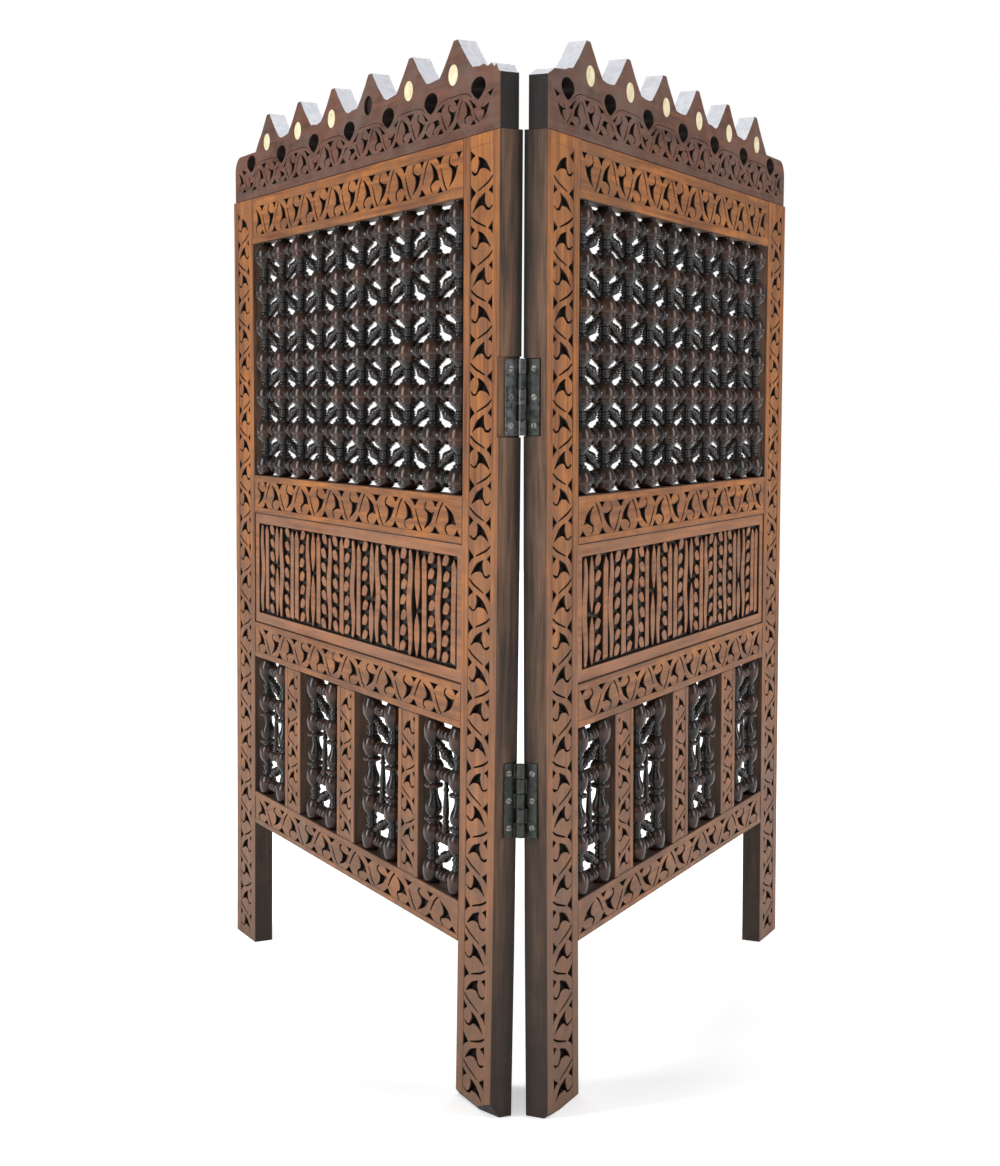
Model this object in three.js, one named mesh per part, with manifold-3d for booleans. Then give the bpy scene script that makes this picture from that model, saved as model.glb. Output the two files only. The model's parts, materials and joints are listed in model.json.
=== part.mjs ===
// A two-leaf folding mashrabiya screen: carved frames, turned lattices and a pierced cresting.
// Millimetres, +Z up. The hinged edges meet at the front, and the leaves run back in a V.
//
// Each leaf is drawn in its own coordinates: x runs from the hinged edge to the far edge,
// y runs from the carved face (0) to the back, and z runs up from the floor. The left leaf is
// the right leaf mirrored.

import * as THREE from 'three';
import { mergeVertices } from 'three/addons/utils/BufferGeometryUtils.js';
import Module from 'manifold-3d';

const wasm = await Module();
wasm.setup();

// ---------------------------------------------------------------- driving dimensions

const leafWidth = 780;
const stileHeight = 1000;
const stileThickness = 25;
const frameThickness = 22;
const nearStileWidth = 80;
const farStileWidth = 73;
const halfOpening = THREE.MathUtils.degToRad(26.5);
const gap = 0.3;

// The feet have spread: the hinged edges touch at the top and bow apart towards the floor.
const spreadAtFloor = 15.5;
const hingeClearance = 0.6;

const topRail = { low: 941, high: stileHeight };
const upperRail = { low: 589, high: 639 };
const lowerRail = { low: 396, high: 443 };
const bottomRail = { low: 168, high: 212 };
const muntinWidth = 54;
const muntinCentres = [210.5, 390.5, 567];
const filletWidth = 14;
const filletGroove = 1.6;

const latticeDepth = 9;
const columnCount = 10;
const columnPitch = 64.4;
const rowCount = 7;
const ballRadius = 11.5;
const ballHeight = 30;
const waistRadius = 4.8;
const linkSize = 5;
const baySpindleSpread = 31;

const crestThickness = 21;
const crestValley = 1067;
const crestApex = 1100;
const farShoulder = 1058;
const farShoulderRadius = 20;
const farShoulderInset = 8;
const merlonPitch = 109.3;
const merlonCount = 6;
const firstMerlon = 99.5;
const merlonHalfFoot = 38;
const merlonHalfTip = 4.5;
const inlayRadius = 11.5;
const inlayDepth = 1.6;
const inlayHeight = 1066;
const inlayOffset = 6;
const pierceHeight = 1046;
const piercePitch = 110.4;
const firstPierce = 48;

const hingeLength = 76;
const hingeHeights = { upper: 740, lower: 334 };
const barrelRadius = 4.6;
const pinRadius = 2.2;
const boreRadius = 2.7;
const plateThickness = 2.2;
const screwHeadRadius = 3.3;
const screwShankRadius = 1.5;
const screwLength = 14;
const screwSpacing = 28;

const farOpeningEdge = leafWidth - farStileWidth;

// ---------------------------------------------------------------- materials

const finish = (color, roughness, metalness = 0) =>
  new THREE.MeshStandardMaterial({ color, roughness, metalness });

const finishes = {
  carved: () => finish(0x9b5f38, 0.62),
  panel: () => finish(0x9a5a32, 0.6),
  crest: () => finish(0x84594a, 0.7),
  turned: () => finish(0x1d1613, 0.38),
  inlay: () => finish(0xe9dfae, 0.35),
  iron: () => finish(0x2b2c28, 0.5, 0.8),
  screw: () => finish(0x4a4943, 0.45, 0.85),
};

// ---------------------------------------------------------------- solids

function solidOf(geometry) {
  const bare = geometry.clone();
  bare.deleteAttribute('normal');
  bare.deleteAttribute('uv');
  const merged = mergeVertices(bare, 1e-4);
  return new wasm.Manifold(new wasm.Mesh({
    numProp: 3,
    vertProperties: new Float32Array(merged.attributes.position.array),
    triVerts: new Uint32Array(merged.index.array),
  }));
}

function geometryOf(solid, mirrored) {
  const mesh = solid.getMesh();
  const positions = new Float32Array(mesh.vertProperties);
  const faces = Uint32Array.from(mesh.triVerts);
  if (mirrored) {
    for (let i = 0; i < positions.length; i += 3) positions[i] = -positions[i];
    for (let i = 0; i < faces.length; i += 3) [faces[i], faces[i + 1]] = [faces[i + 1], faces[i]];
  }
  const geometry = new THREE.BufferGeometry();
  geometry.setAttribute('position', new THREE.BufferAttribute(positions, 3));
  geometry.setIndex(new THREE.BufferAttribute(faces, 1));
  geometry.computeVertexNormals();
  return geometry;
}

function boxGeometry(x0, x1, y0, y1, z0, z1, steps = 1) {
  const box = new THREE.BoxGeometry(x1 - x0, y1 - y0, z1 - z0, 1, 1, steps);
  return box.translate((x0 + x1) / 2, (y0 + y1) / 2, (z0 + z1) / 2);
}

const boxSolid = (...sides) => solidOf(boxGeometry(...sides));

// A round bar between two heights on the Z axis through (x, y).
function uprightBar(x, y, z0, z1, radius, sides) {
  const bar = new THREE.CylinderGeometry(radius, radius, z1 - z0, sides);
  return solidOf(bar.rotateX(Math.PI / 2).translate(x, y, (z0 + z1) / 2));
}

// A turned piece: a profile of [radius, height] pairs spun about an upright axis.
function turnedGeometry(profile, sides) {
  const points = profile.map(([radius, height]) => new THREE.Vector2(radius, height));
  return new THREE.LatheGeometry(points, sides).rotateX(Math.PI / 2);
}

// The bow of the hinged edge: how far a level of the leaf has moved away from the hinge axis.
function spreadAt(z) {
  const drop = Math.max(0, stileHeight - z) / stileHeight;
  return spreadAtFloor * drop * drop;
}

// Moves a piece from leaf coordinates to hinge coordinates, whose origin is the pin's axis.
function toHinge(geometry) {
  const position = geometry.attributes.position;
  for (let i = 0; i < position.count; i += 1) {
    const x = position.getX(i) + hingeClearance + spreadAt(position.getZ(i));
    position.setX(i, x);
    position.setY(i, position.getY(i) - stileThickness - hingeClearance);
  }
  return geometry;
}

const seated = (geometry) => solidOf(toHinge(geometry));

// ---------------------------------------------------------------- frame members

const stileSteps = 6;

// A fillet groove is the fine line between a member's plain edge and its carved band.
function uprightGrooves(x0, x1, z0, z1, steps) {
  return [x0 + filletWidth, x1 - filletWidth].map((x) => seated(boxGeometry(
    x - filletGroove / 2, x + filletGroove / 2, -1, filletGroove, z0, z1, steps,
  )));
}

function stile(x0, x1) {
  let body = seated(boxGeometry(x0, x1, 0, stileThickness, 0, stileHeight, stileSteps));
  const low = bottomRail.low - filletWidth;
  const high = stileHeight - filletWidth;
  for (const groove of uprightGrooves(x0, x1, low, high, stileSteps)) body = body.subtract(groove);
  return body;
}

const railFilletWidth = 8.5;

function rail({ low, high }) {
  let body = seated(boxGeometry(
    nearStileWidth + gap, farOpeningEdge - gap, 0, frameThickness, low, high,
  ));
  for (const z of [low + railFilletWidth, high - railFilletWidth]) {
    const line = seated(boxGeometry(
      nearStileWidth - 1, farOpeningEdge + 1, -1, filletGroove,
      z - filletGroove / 2, z + filletGroove / 2,
    ));
    body = body.subtract(line);
  }
  return body;
}

function muntin(centre) {
  const x0 = centre - muntinWidth / 2;
  const x1 = centre + muntinWidth / 2;
  const low = bottomRail.high + gap;
  const high = lowerRail.low - gap;
  let body = seated(boxGeometry(x0, x1, 0, frameThickness, low, high, 2));
  for (const groove of uprightGrooves(x0, x1, low - 1, high + 1, 2)) body = body.subtract(groove);
  return body;
}

// The panel's field is sunk, and its raised strokes stand in for an inscription: a row of
// uprights, whose height steps down twice and starts again.
const panelFace = 1.5;
const panelBack = 18;
const panelFieldDepth = 4;
const panelBorder = 13;
const strokeCount = 10;
const strokeWidth = 9;
const strokeRoot = 1;
const strokeMargin = 10;
const strokeStep = 14;

function inscriptionPanel() {
  const low = lowerRail.high + gap;
  const high = upperRail.low - gap;
  const x0 = nearStileWidth + gap;
  const x1 = farOpeningEdge - gap;
  let body = seated(boxGeometry(x0, x1, panelFace, panelBack, low, high));
  body = body.subtract(seated(boxGeometry(
    x0 + panelBorder, x1 - panelBorder, panelFace - 1, panelFace + panelFieldDepth,
    low + panelBorder, high - panelBorder,
  )));
  const pitch = (x1 - x0 - 2 * panelBorder) / strokeCount;
  for (let i = 0; i < strokeCount; i += 1) {
    const centre = x0 + panelBorder + (i + 0.5) * pitch;
    const top = high - panelBorder - strokeMargin - strokeStep * (i % 3);
    body = body.add(seated(boxGeometry(
      centre - strokeWidth / 2, centre + strokeWidth / 2,
      panelFace, panelFace + panelFieldDepth + strokeRoot,
      low + panelBorder + strokeMargin, top,
    )));
  }
  return body;
}

// ---------------------------------------------------------------- turned lattices

const turnedSides = 5;
const stickEndRadius = 7;
const linkInset = 8;

function horizontalLink(x0, x1, z) {
  const half = linkSize / 2;
  return seated(boxGeometry(
    x0, x1, latticeDepth - half, latticeDepth + half, z - half, z + half,
  ));
}

// One column of the upper lattice: a string of barrel-shaped balls turned from a single stick.
function ballColumn(x) {
  const low = upperRail.high + gap;
  const high = topRail.low - gap;
  const rowPitch = (high - low - ballHeight) / (rowCount - 1);
  const profile = [[0, low], [stickEndRadius, low]];
  for (let row = 0; row < rowCount; row += 1) {
    const z = low + ballHeight / 2 + row * rowPitch;
    if (row > 0) profile.push([waistRadius, z - rowPitch / 2]);
    profile.push([ballRadius, z]);
  }
  profile.push([stickEndRadius, high], [0, high]);
  return seated(turnedGeometry(profile, turnedSides).translate(x, latticeDepth, 0));
}

function upperLattice() {
  const low = upperRail.high + gap;
  const rowPitch = (topRail.low - gap - low - ballHeight) / (rowCount - 1);
  const firstColumn = (nearStileWidth + farOpeningEdge - (columnCount - 1) * columnPitch) / 2;
  let lattice = null;
  for (let column = 0; column < columnCount; column += 1) {
    const x = firstColumn + column * columnPitch;
    const stick = ballColumn(x);
    lattice = lattice ? lattice.add(stick) : stick;
    if (column === 0) continue;
    for (let row = column % 2; row < rowCount; row += 2) {
      const z = low + ballHeight / 2 + row * rowPitch;
      lattice = lattice.add(horizontalLink(x - columnPitch + linkInset, x - linkInset, z));
    }
  }
  return lattice;
}

// The swellings and necks of a lower bay's baluster, as [radius, height] from below.
const balusterTurning = [
  [9.5, 226], [4.8, 247], [9.2, 265], [9, 291], [4.2, 313], [9.2, 330], [4.8, 358], [9.5, 382],
];

// A baluster of a lower bay, from the rail above to the rail below.
function bayBaluster(x) {
  const low = bottomRail.high + gap;
  const high = lowerRail.low - gap;
  const profile = [
    [0, low], [stickEndRadius, low], ...balusterTurning, [stickEndRadius, high], [0, high],
  ];
  return seated(turnedGeometry(profile, turnedSides).translate(x, latticeDepth, 0));
}

const bayLinkHeights = [268, 336];
const bayLinkInset = 6;
const slimPinRadius = { foot: 4, head: 2.4 };

function bayLattice(x0, x1) {
  const middle = (x0 + x1) / 2;
  const left = middle - baySpindleSpread;
  const right = middle + baySpindleSpread;
  let lattice = bayBaluster(left).add(bayBaluster(right));
  for (const z of bayLinkHeights) {
    lattice = lattice.add(horizontalLink(left + bayLinkInset, right - bayLinkInset, z));
  }
  const [foot, head] = bayLinkHeights;
  const slimPin = turnedGeometry([
    [0, foot], [slimPinRadius.foot, foot], [slimPinRadius.head, head], [0, head],
  ], turnedSides);
  return lattice.add(seated(slimPin.translate(middle, latticeDepth, 0)));
}

// ---------------------------------------------------------------- cresting

const merlonCentre = (i) => firstMerlon + i * merlonPitch;

// How far a merlon's sawn edge stands from its middle at a height.
function merlonReach(z) {
  const slope = (merlonHalfFoot - merlonHalfTip) / (crestApex - crestValley);
  return merlonHalfTip + (crestApex - z) * slope;
}

// A pierced drop: round above, drawn to a point below.
const pierceSteps = 3;
const pierceHalfWidth = 16.5;
const pierceRise = 10;
const pierceFall = 13;

function pierceOutline(centre) {
  const outline = new THREE.Path();
  outline.moveTo(centre, pierceHeight - pierceFall);
  for (let i = 0; i <= pierceSteps; i += 1) {
    const angle = (-0.1 + (1.2 * i) / pierceSteps) * Math.PI;
    const x = centre + pierceHalfWidth * Math.cos(angle);
    outline.lineTo(x, pierceHeight + pierceRise * Math.sin(angle));
  }
  outline.closePath();
  return outline;
}

function crestOutline(nearEndBreak) {
  const shape = new THREE.Shape();
  const base = stileHeight + gap;
  const farEnd = leafWidth - farShoulderInset;
  const lastCentre = merlonCentre(merlonCount - 1);
  shape.moveTo(0, base);
  shape.lineTo(farEnd, base);
  shape.absarc(
    farEnd - farShoulderRadius, farShoulder - farShoulderRadius, farShoulderRadius, 0, Math.PI / 2,
  );
  shape.lineTo(lastCentre + merlonReach(farShoulder), farShoulder);
  for (let i = merlonCount - 1; i >= 0; i -= 1) {
    const centre = merlonCentre(i);
    if (i < merlonCount - 1) shape.lineTo(centre + merlonHalfFoot, crestValley);
    shape.lineTo(centre + merlonHalfTip, crestApex);
    shape.lineTo(centre - merlonHalfTip, crestApex);
    shape.lineTo(centre - merlonHalfFoot, crestValley);
  }
  for (const [x, z] of nearEndBreak) shape.lineTo(x, z);
  shape.closePath();
  for (let i = 0; i <= merlonCount; i += 1) {
    shape.holes.push(pierceOutline(firstPierce + i * piercePitch));
  }
  return shape;
}

function inlayBody(centre, radius, y0, y1) {
  const disc = new THREE.CylinderGeometry(radius, radius, y1 - y0, 8);
  return seated(disc.translate(centre, (y0 + y1) / 2, inlayHeight));
}

function cresting(nearEndBreak) {
  const board = new THREE.ExtrudeGeometry(crestOutline(nearEndBreak), {
    depth: crestThickness, bevelEnabled: false, curveSegments: 4,
  });
  board.rotateX(Math.PI / 2).translate(0, crestThickness, 0);
  let body = seated(board);
  for (let i = 0; i < merlonCount; i += 1) {
    body = body.subtract(inlayBody(merlonCentre(i) + inlayOffset, inlayRadius, -1, inlayDepth));
  }
  return body;
}

// ---------------------------------------------------------------- butt hinges

const knuckleCount = 5;
const knuckleClearance = 0.7;
const barrelSides = 8;
const pinSides = 6;
const countersinkDepth = plateThickness - 0.3;
const screwPointLength = 3;
const screwSetback = 5;
const screwClearance = 0.5;

// The web between a plate and its knuckles, as distances in front of the pin's axis.
const webFront = 3.6;
const webBack = 1.4;
const webRoot = pinRadius + 0.9;
const tongueOverlap = 1;

// How far the plate stands from the pin's axis: against the wood, but never inside the barrel.
function plateOffset(height) {
  const wood = hingeClearance + spreadAt(height) - plateThickness;
  return Math.max(barrelRadius - plateThickness, wood);
}

const screwHeights = (height) => [-screwSpacing, 0, screwSpacing].map((rise) => height + rise);

// A screw points from the groove between the leaves into the stile.
function screwGeometry(x, y, z, headRadius, shankRadius, length) {
  const profile = [
    [0, 0], [headRadius, 0], [shankRadius, countersinkDepth],
    [shankRadius, length - screwPointLength], [0, length],
  ];
  const points = profile.map(([radius, along]) => new THREE.Vector2(radius, along));
  return new THREE.LatheGeometry(points, pinSides).rotateZ(-Math.PI / 2).translate(x, y, z);
}

const screwDepthOnEdge = (plate) => plate.front + (stileThickness - screwSetback - plate.front) / 2;

// A hinge leaf with its share of the knuckles. Even knuckles belong to the left leaf, which
// also holds the pin.
function hingeLeaf(height, plate, ownsPin) {
  const x0 = plateOffset(height);
  const x1 = x0 + plateThickness;
  const low = height - hingeLength / 2;
  const high = height + hingeLength / 2;
  const front = plate.front - stileThickness - hingeClearance;
  const knuckleLength = hingeLength / knuckleCount;
  let body = boxSolid(x0, x1, front, -barrelRadius - knuckleClearance, low, high);
  for (let k = ownsPin ? 0 : 1; k < knuckleCount; k += 2) {
    const z0 = low + k * knuckleLength + gap;
    const z1 = z0 + knuckleLength - 2 * gap;
    const tongue = boxSolid(x0, x1, -barrelRadius - tongueOverlap, -webBack, z0, z1);
    body = body.add(uprightBar(0, 0, z0, z1, barrelRadius, barrelSides)).add(tongue);
    if (x0 > barrelRadius) body = body.add(boxSolid(webRoot, x1, -webFront, -webBack, z0, z1));
  }
  if (ownsPin) body = body.add(uprightBar(0, 0, low + gap, high - gap, pinRadius, pinSides));
  else body = body.subtract(uprightBar(0, 0, low - 1, high + 1, boreRadius, pinSides));
  const y = screwDepthOnEdge(plate) - stileThickness - hingeClearance;
  for (const z of screwHeights(height)) {
    body = body.subtract(solidOf(screwGeometry(
      x0 - 0.02, y, z, screwHeadRadius + screwClearance, screwShankRadius + screwClearance, screwLength,
    )));
  }
  return body;
}

function hingeScrew(height, plate, z) {
  const x = plateOffset(height);
  const y = screwDepthOnEdge(plate) - stileThickness - hingeClearance;
  return solidOf(screwGeometry(x, y, z, screwHeadRadius, screwShankRadius, screwLength));
}

// What a hinge takes out of its stile: the plate's mortise, the barrel's hollow, the pilot holes.
function hingeRecess(height, plate) {
  const x0 = plateOffset(height);
  const low = height - hingeLength / 2 - gap - plate.slack;
  const high = height + hingeLength / 2 + gap + plate.slack;
  const front = plate.mortiseFront - stileThickness - hingeClearance;
  const y = screwDepthOnEdge(plate) - stileThickness - hingeClearance;
  let recess = boxSolid(-1, x0 + plateThickness + gap, front, 1, low, high);
  recess = recess.add(uprightBar(0, 0, low, high, barrelRadius + knuckleClearance, barrelSides));
  for (const z of screwHeights(height)) {
    recess = recess.add(solidOf(screwGeometry(
      x0, y, z, screwHeadRadius, screwShankRadius + screwClearance, screwLength + 1,
    )));
  }
  return recess;
}

// The plates' front edges, measured back from the carved face. The left stile's upper mortise
// was cut too wide and breaks through to its front corner.
const plates = {
  left: {
    upper: { front: 8, mortiseFront: -1, slack: 2 },
    lower: { front: 10, mortiseFront: 9.4, slack: 0.4 },
  },
  right: {
    upper: { front: 8, mortiseFront: 6.5, slack: 0.6 },
    lower: { front: 10, mortiseFront: 9.4, slack: 0.4 },
  },
};

// ---------------------------------------------------------------- damage

// A piece knocked off the front of a foot: an uneven slope, highest in its middle.
const breakSlope = { start: 0.6, end: 0.35 };

function footBreak(x0, x1, height, depth) {
  const wedge = new THREE.Shape();
  wedge.moveTo(x0, -1);
  wedge.lineTo(x1, -1);
  wedge.lineTo(x1, height * breakSlope.end);
  wedge.lineTo((x0 + x1) / 2, height);
  wedge.lineTo(x0, height * breakSlope.start);
  const solid = new THREE.ExtrudeGeometry(wedge, { depth: depth + 1, bevelEnabled: false });
  return seated(solid.rotateX(Math.PI / 2).translate(0, depth, 0));
}

const damage = {
  left: {
    foot: { from: 14, to: 62, height: 17, depth: 9 },
    crestEnd: [[34, crestValley - 2], [14, crestValley - 5], [0, crestValley - 15]],
    lostInlay: 2,
  },
  right: {
    foot: { from: 4, to: 22, height: 7, depth: 5 },
    crestEnd: [[42, crestValley - 5], [16, crestValley - 8], [0, crestValley - 15]],
    lostInlay: null,
  },
};

// ---------------------------------------------------------------- assembly

function addPiece(group, name, solid, material) {
  const mesh = new THREE.Mesh(geometryOf(solid, group.userData.mirrored), material);
  mesh.name = name;
  group.add(mesh);
}

function nearStile(side) {
  let body = stile(0, nearStileWidth);
  for (const level of ['upper', 'lower']) {
    body = body.subtract(hingeRecess(hingeHeights[level], plates[side][level]));
  }
  const { from, to, height, depth } = damage[side].foot;
  return body.subtract(footBreak(from, to, height, depth));
}

function addFrame(leaf, side) {
  addPiece(leaf, `${side}_near_stile`, nearStile(side), finishes.carved());
  addPiece(leaf, `${side}_far_stile`, stile(farOpeningEdge, leafWidth), finishes.carved());
  addPiece(leaf, `${side}_top_rail`, rail(topRail), finishes.carved());
  addPiece(leaf, `${side}_upper_rail`, rail(upperRail), finishes.carved());
  addPiece(leaf, `${side}_lower_rail`, rail(lowerRail), finishes.carved());
  addPiece(leaf, `${side}_bottom_rail`, rail(bottomRail), finishes.carved());
  muntinCentres.forEach((centre, i) => {
    addPiece(leaf, `${side}_muntin_${i + 1}`, muntin(centre), finishes.carved());
  });
  addPiece(leaf, `${side}_inscription_panel`, inscriptionPanel(), finishes.panel());
}

function addLattices(leaf, side) {
  addPiece(leaf, `${side}_upper_lattice`, upperLattice(), finishes.turned());
  const half = muntinWidth / 2;
  const starts = [nearStileWidth, ...muntinCentres.map((x) => x + half)];
  const ends = [...muntinCentres.map((x) => x - half), farOpeningEdge];
  starts.forEach((start, i) => {
    addPiece(leaf, `${side}_bay_lattice_${i + 1}`, bayLattice(start, ends[i]), finishes.turned());
  });
}

function addCresting(leaf, side) {
  const { crestEnd, lostInlay } = damage[side];
  addPiece(leaf, `${side}_cresting`, cresting(crestEnd), finishes.crest());
  for (let i = 0; i < merlonCount; i += 1) {
    if (i === lostInlay) continue;
    const centre = merlonCentre(i) + inlayOffset;
    const disc = inlayBody(centre, inlayRadius - gap, 0, inlayDepth - gap);
    addPiece(leaf, `${side}_inlay_${i + 1}`, disc, finishes.inlay());
  }
}

function addHinges(leaf, side) {
  for (const level of ['upper', 'lower']) {
    const height = hingeHeights[level];
    const plate = plates[side][level];
    const body = hingeLeaf(height, plate, side === 'left');
    addPiece(leaf, `${side}_${level}_hinge`, body, finishes.iron());
    screwHeights(height).forEach((z, i) => {
      addPiece(leaf, `${side}_${level}_screw_${i + 1}`, hingeScrew(height, plate, z), finishes.screw());
    });
  }
}

function buildLeaf(side) {
  const leaf = new THREE.Group();
  leaf.userData.mirrored = side === 'left';
  addFrame(leaf, side);
  addLattices(leaf, side);
  addCresting(leaf, side);
  addHinges(leaf, side);
  const turn = Math.PI / 2 - halfOpening;
  leaf.rotation.z = side === 'left' ? -turn : turn;
  return leaf;
}

const screen = new THREE.Group();
screen.add(buildLeaf('left'), buildLeaf('right'));

// The origin is on the floor, at the middle of the screen's box.
const middle = new THREE.Box3().setFromObject(screen).getCenter(new THREE.Vector3());
screen.position.set(-middle.x, -middle.y, 0);

export default screen;
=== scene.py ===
import json
import math
import random

import bmesh
import bpy
from mathutils import Matrix, Vector


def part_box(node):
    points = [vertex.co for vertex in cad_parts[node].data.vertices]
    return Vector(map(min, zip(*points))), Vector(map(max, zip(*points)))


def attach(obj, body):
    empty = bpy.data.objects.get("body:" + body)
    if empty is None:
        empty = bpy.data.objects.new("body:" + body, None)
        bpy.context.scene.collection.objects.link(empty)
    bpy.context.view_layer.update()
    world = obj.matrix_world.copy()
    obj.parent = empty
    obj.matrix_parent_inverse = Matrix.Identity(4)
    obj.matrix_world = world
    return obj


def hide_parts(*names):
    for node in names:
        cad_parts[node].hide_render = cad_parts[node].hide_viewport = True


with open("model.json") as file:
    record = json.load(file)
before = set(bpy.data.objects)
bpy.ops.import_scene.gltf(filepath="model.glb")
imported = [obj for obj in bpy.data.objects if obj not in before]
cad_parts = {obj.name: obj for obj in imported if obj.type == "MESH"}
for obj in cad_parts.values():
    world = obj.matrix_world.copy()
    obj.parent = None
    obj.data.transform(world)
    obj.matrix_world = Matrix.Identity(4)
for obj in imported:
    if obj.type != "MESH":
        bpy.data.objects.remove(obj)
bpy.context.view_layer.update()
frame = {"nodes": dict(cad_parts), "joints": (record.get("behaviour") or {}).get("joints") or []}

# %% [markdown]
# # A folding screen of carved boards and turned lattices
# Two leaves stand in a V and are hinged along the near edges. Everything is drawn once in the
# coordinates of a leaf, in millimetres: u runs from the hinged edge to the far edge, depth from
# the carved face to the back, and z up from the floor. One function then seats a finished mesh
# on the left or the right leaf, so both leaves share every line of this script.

MM = 0.001
SIDES = ("left", "right")
hinge = Vector(frame["joints"][0]["pos_m"])


def level(node):
    """The lowest and highest point of a node, in millimetres above the floor."""
    low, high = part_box(node)
    return low[2] / MM, high[2] / MM


STILE_HEIGHT = level("right_far_stile")[1]
TOP_RAIL = level("right_top_rail")
UPPER_RAIL = level("right_upper_rail")
LOWER_RAIL = level("right_lower_rail")
BOTTOM_RAIL = level("right_bottom_rail")
CREST_FOOT, CREST_APEX = level("right_cresting")
LEAF_WIDTH = 780.0
NEAR_STILE = 80.0
FAR_STILE = LEAF_WIDTH - 73.0
STILE_THICKNESS = 25.0
RAIL_THICKNESS = 22.0
MUNTIN_WIDTH = 54.0
MUNTINS = (210.5, 390.5, 567.0)
JOINT_GAP = 0.3
print(f"rails at {TOP_RAIL}, {UPPER_RAIL}, {LOWER_RAIL}, {BOTTOM_RAIL}")

# %% [markdown]
# ## Seating a piece on its leaf
# The feet of the hinged edges have spread, so the leaf's own straight lines bow a little towards
# the floor. The same rule that bends the construction model bends these meshes. The left leaf is
# the mirror of the right one, and a mirrored mesh has its faces turned back outwards.

# %% seating
HALF_OPENING = math.radians(26.5)
HINGE_CLEARANCE = 0.6
SPREAD_AT_FLOOR = 15.5
LEAF_TURN = math.pi / 2 - HALF_OPENING


def spread(z):
    """How far the hinged edge has moved outwards at a height."""
    drop = max(0.0, STILE_HEIGHT - z) / STILE_HEIGHT
    return SPREAD_AT_FLOOR * drop * drop


def hinge_point(x, y, z):
    """A point measured from the pin, x into the right stile and y to the back, in metres."""
    turned_x = x * math.cos(LEAF_TURN) - y * math.sin(LEAF_TURN)
    turned_y = x * math.sin(LEAF_TURN) + y * math.cos(LEAF_TURN)
    return Vector((turned_x * MM, turned_y * MM + hinge.y, z * MM))


def leaf_point(u, depth, z):
    """A leaf coordinate as a point of the right leaf, in metres."""
    return hinge_point(u + HINGE_CLEARANCE + spread(z), depth - STILE_THICKNESS - HINGE_CLEARANCE, z)


def mirrored(bm):
    for vert in bm.verts:
        vert.co.x = -vert.co.x
    bmesh.ops.reverse_faces(bm, faces=bm.faces)


def add_piece(name, bm, side, materials, nodes, smooth=False, seated=True):
    """Seats a mesh drawn for the right leaf and lets it stand for its construction nodes."""
    if seated:
        for vert in bm.verts:
            vert.co = leaf_point(*vert.co)
    if side == "left":
        mirrored(bm)
    mesh = bpy.data.meshes.new(f"{side}_{name}")
    for face in bm.faces:
        face.smooth = smooth
    bm.to_mesh(mesh)
    bm.free()
    for material in materials:
        mesh.materials.append(material)
    piece = bpy.data.objects.new(f"{side}_{name}", mesh)
    bpy.context.scene.collection.objects.link(piece)
    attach(piece, f"{side}_leaf")
    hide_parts(*[f"{side}_{node}" for node in nodes])
    print(f"{side}_{name}: {len(mesh.polygons)} faces")
    return piece


# %% [markdown]
# ## Shared effects of the finishes
# Old oiled wood is never one colour: it has long streaks of grain, a slow drift from orange to
# grey where hands and light have worn it, and dirt in the pores. Each of these is a node group
# with named sockets, built once, and every wood takes it with its own values.

# %% node helpers
def new_group(name, inputs, outputs):
    """A shader node group with its sockets, its node tree and its two end nodes."""
    group = bpy.data.node_groups.new(name, "ShaderNodeTree")
    for label, kind, value in inputs:
        socket = group.interface.new_socket(label, in_out="INPUT", socket_type=f"NodeSocket{kind}")
        if value is not None:
            socket.default_value = value
    for label, kind in outputs:
        group.interface.new_socket(label, in_out="OUTPUT", socket_type=f"NodeSocket{kind}")
    return group, group.nodes.new("NodeGroupInput"), group.nodes.new("NodeGroupOutput")


def noise_at(tree, vector, scale, detail, roughness):
    node = tree.nodes.new("ShaderNodeTexNoise")
    node.inputs["Scale"].default_value = scale
    node.inputs["Detail"].default_value = detail
    node.inputs["Roughness"].default_value = roughness
    tree.links.new(vector, node.inputs["Vector"])
    return node.outputs["Fac"]


def stretched(tree, vector, scale):
    node = tree.nodes.new("ShaderNodeMapping")
    node.inputs["Scale"].default_value = scale
    tree.links.new(vector, node.inputs["Vector"])
    return node.outputs["Vector"]


def ramp(tree, value, low, high):
    """The value stretched so that low becomes 0 and high becomes 1."""
    node = tree.nodes.new("ShaderNodeMapRange")
    node.inputs["From Min"].default_value = low
    node.inputs["From Max"].default_value = high
    tree.links.new(value, node.inputs["Value"])
    return node.outputs["Result"]


def math_of(tree, operation, first, second):
    node = tree.nodes.new("ShaderNodeMath")
    node.operation = operation
    for socket, value in zip(node.inputs, (first, second)):
        if isinstance(value, (int, float)):
            socket.default_value = value
        else:
            tree.links.new(value, socket)
    return node.outputs["Value"]


def weighted(tree, first, first_share, second, second_share):
    """Two values added, each with its own share."""
    first_part = math_of(tree, "MULTIPLY", first, first_share)
    second_part = math_of(tree, "MULTIPLY", second, second_share)
    return math_of(tree, "ADD", first_part, second_part)


def between(tree, value, low, high):
    """The value laid out from low to high."""
    node = tree.nodes.new("ShaderNodeMapRange")
    node.inputs["To Min"].default_value = low
    node.inputs["To Max"].default_value = high
    tree.links.new(value, node.inputs["Value"])
    return node.outputs["Result"]


def blended(tree, factor, first, second):
    """The first colour where the factor is 0, and the second where it is 1."""
    node = tree.nodes.new("ShaderNodeMix")
    node.data_type = "RGBA"
    sockets = (node.inputs["Factor"], node.inputs[6], node.inputs[7])
    for socket, value in zip(sockets, (factor, first, second)):
        if isinstance(value, (int, float, tuple)):
            socket.default_value = value
        else:
            tree.links.new(value, socket)
    return node.outputs[2]


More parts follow.
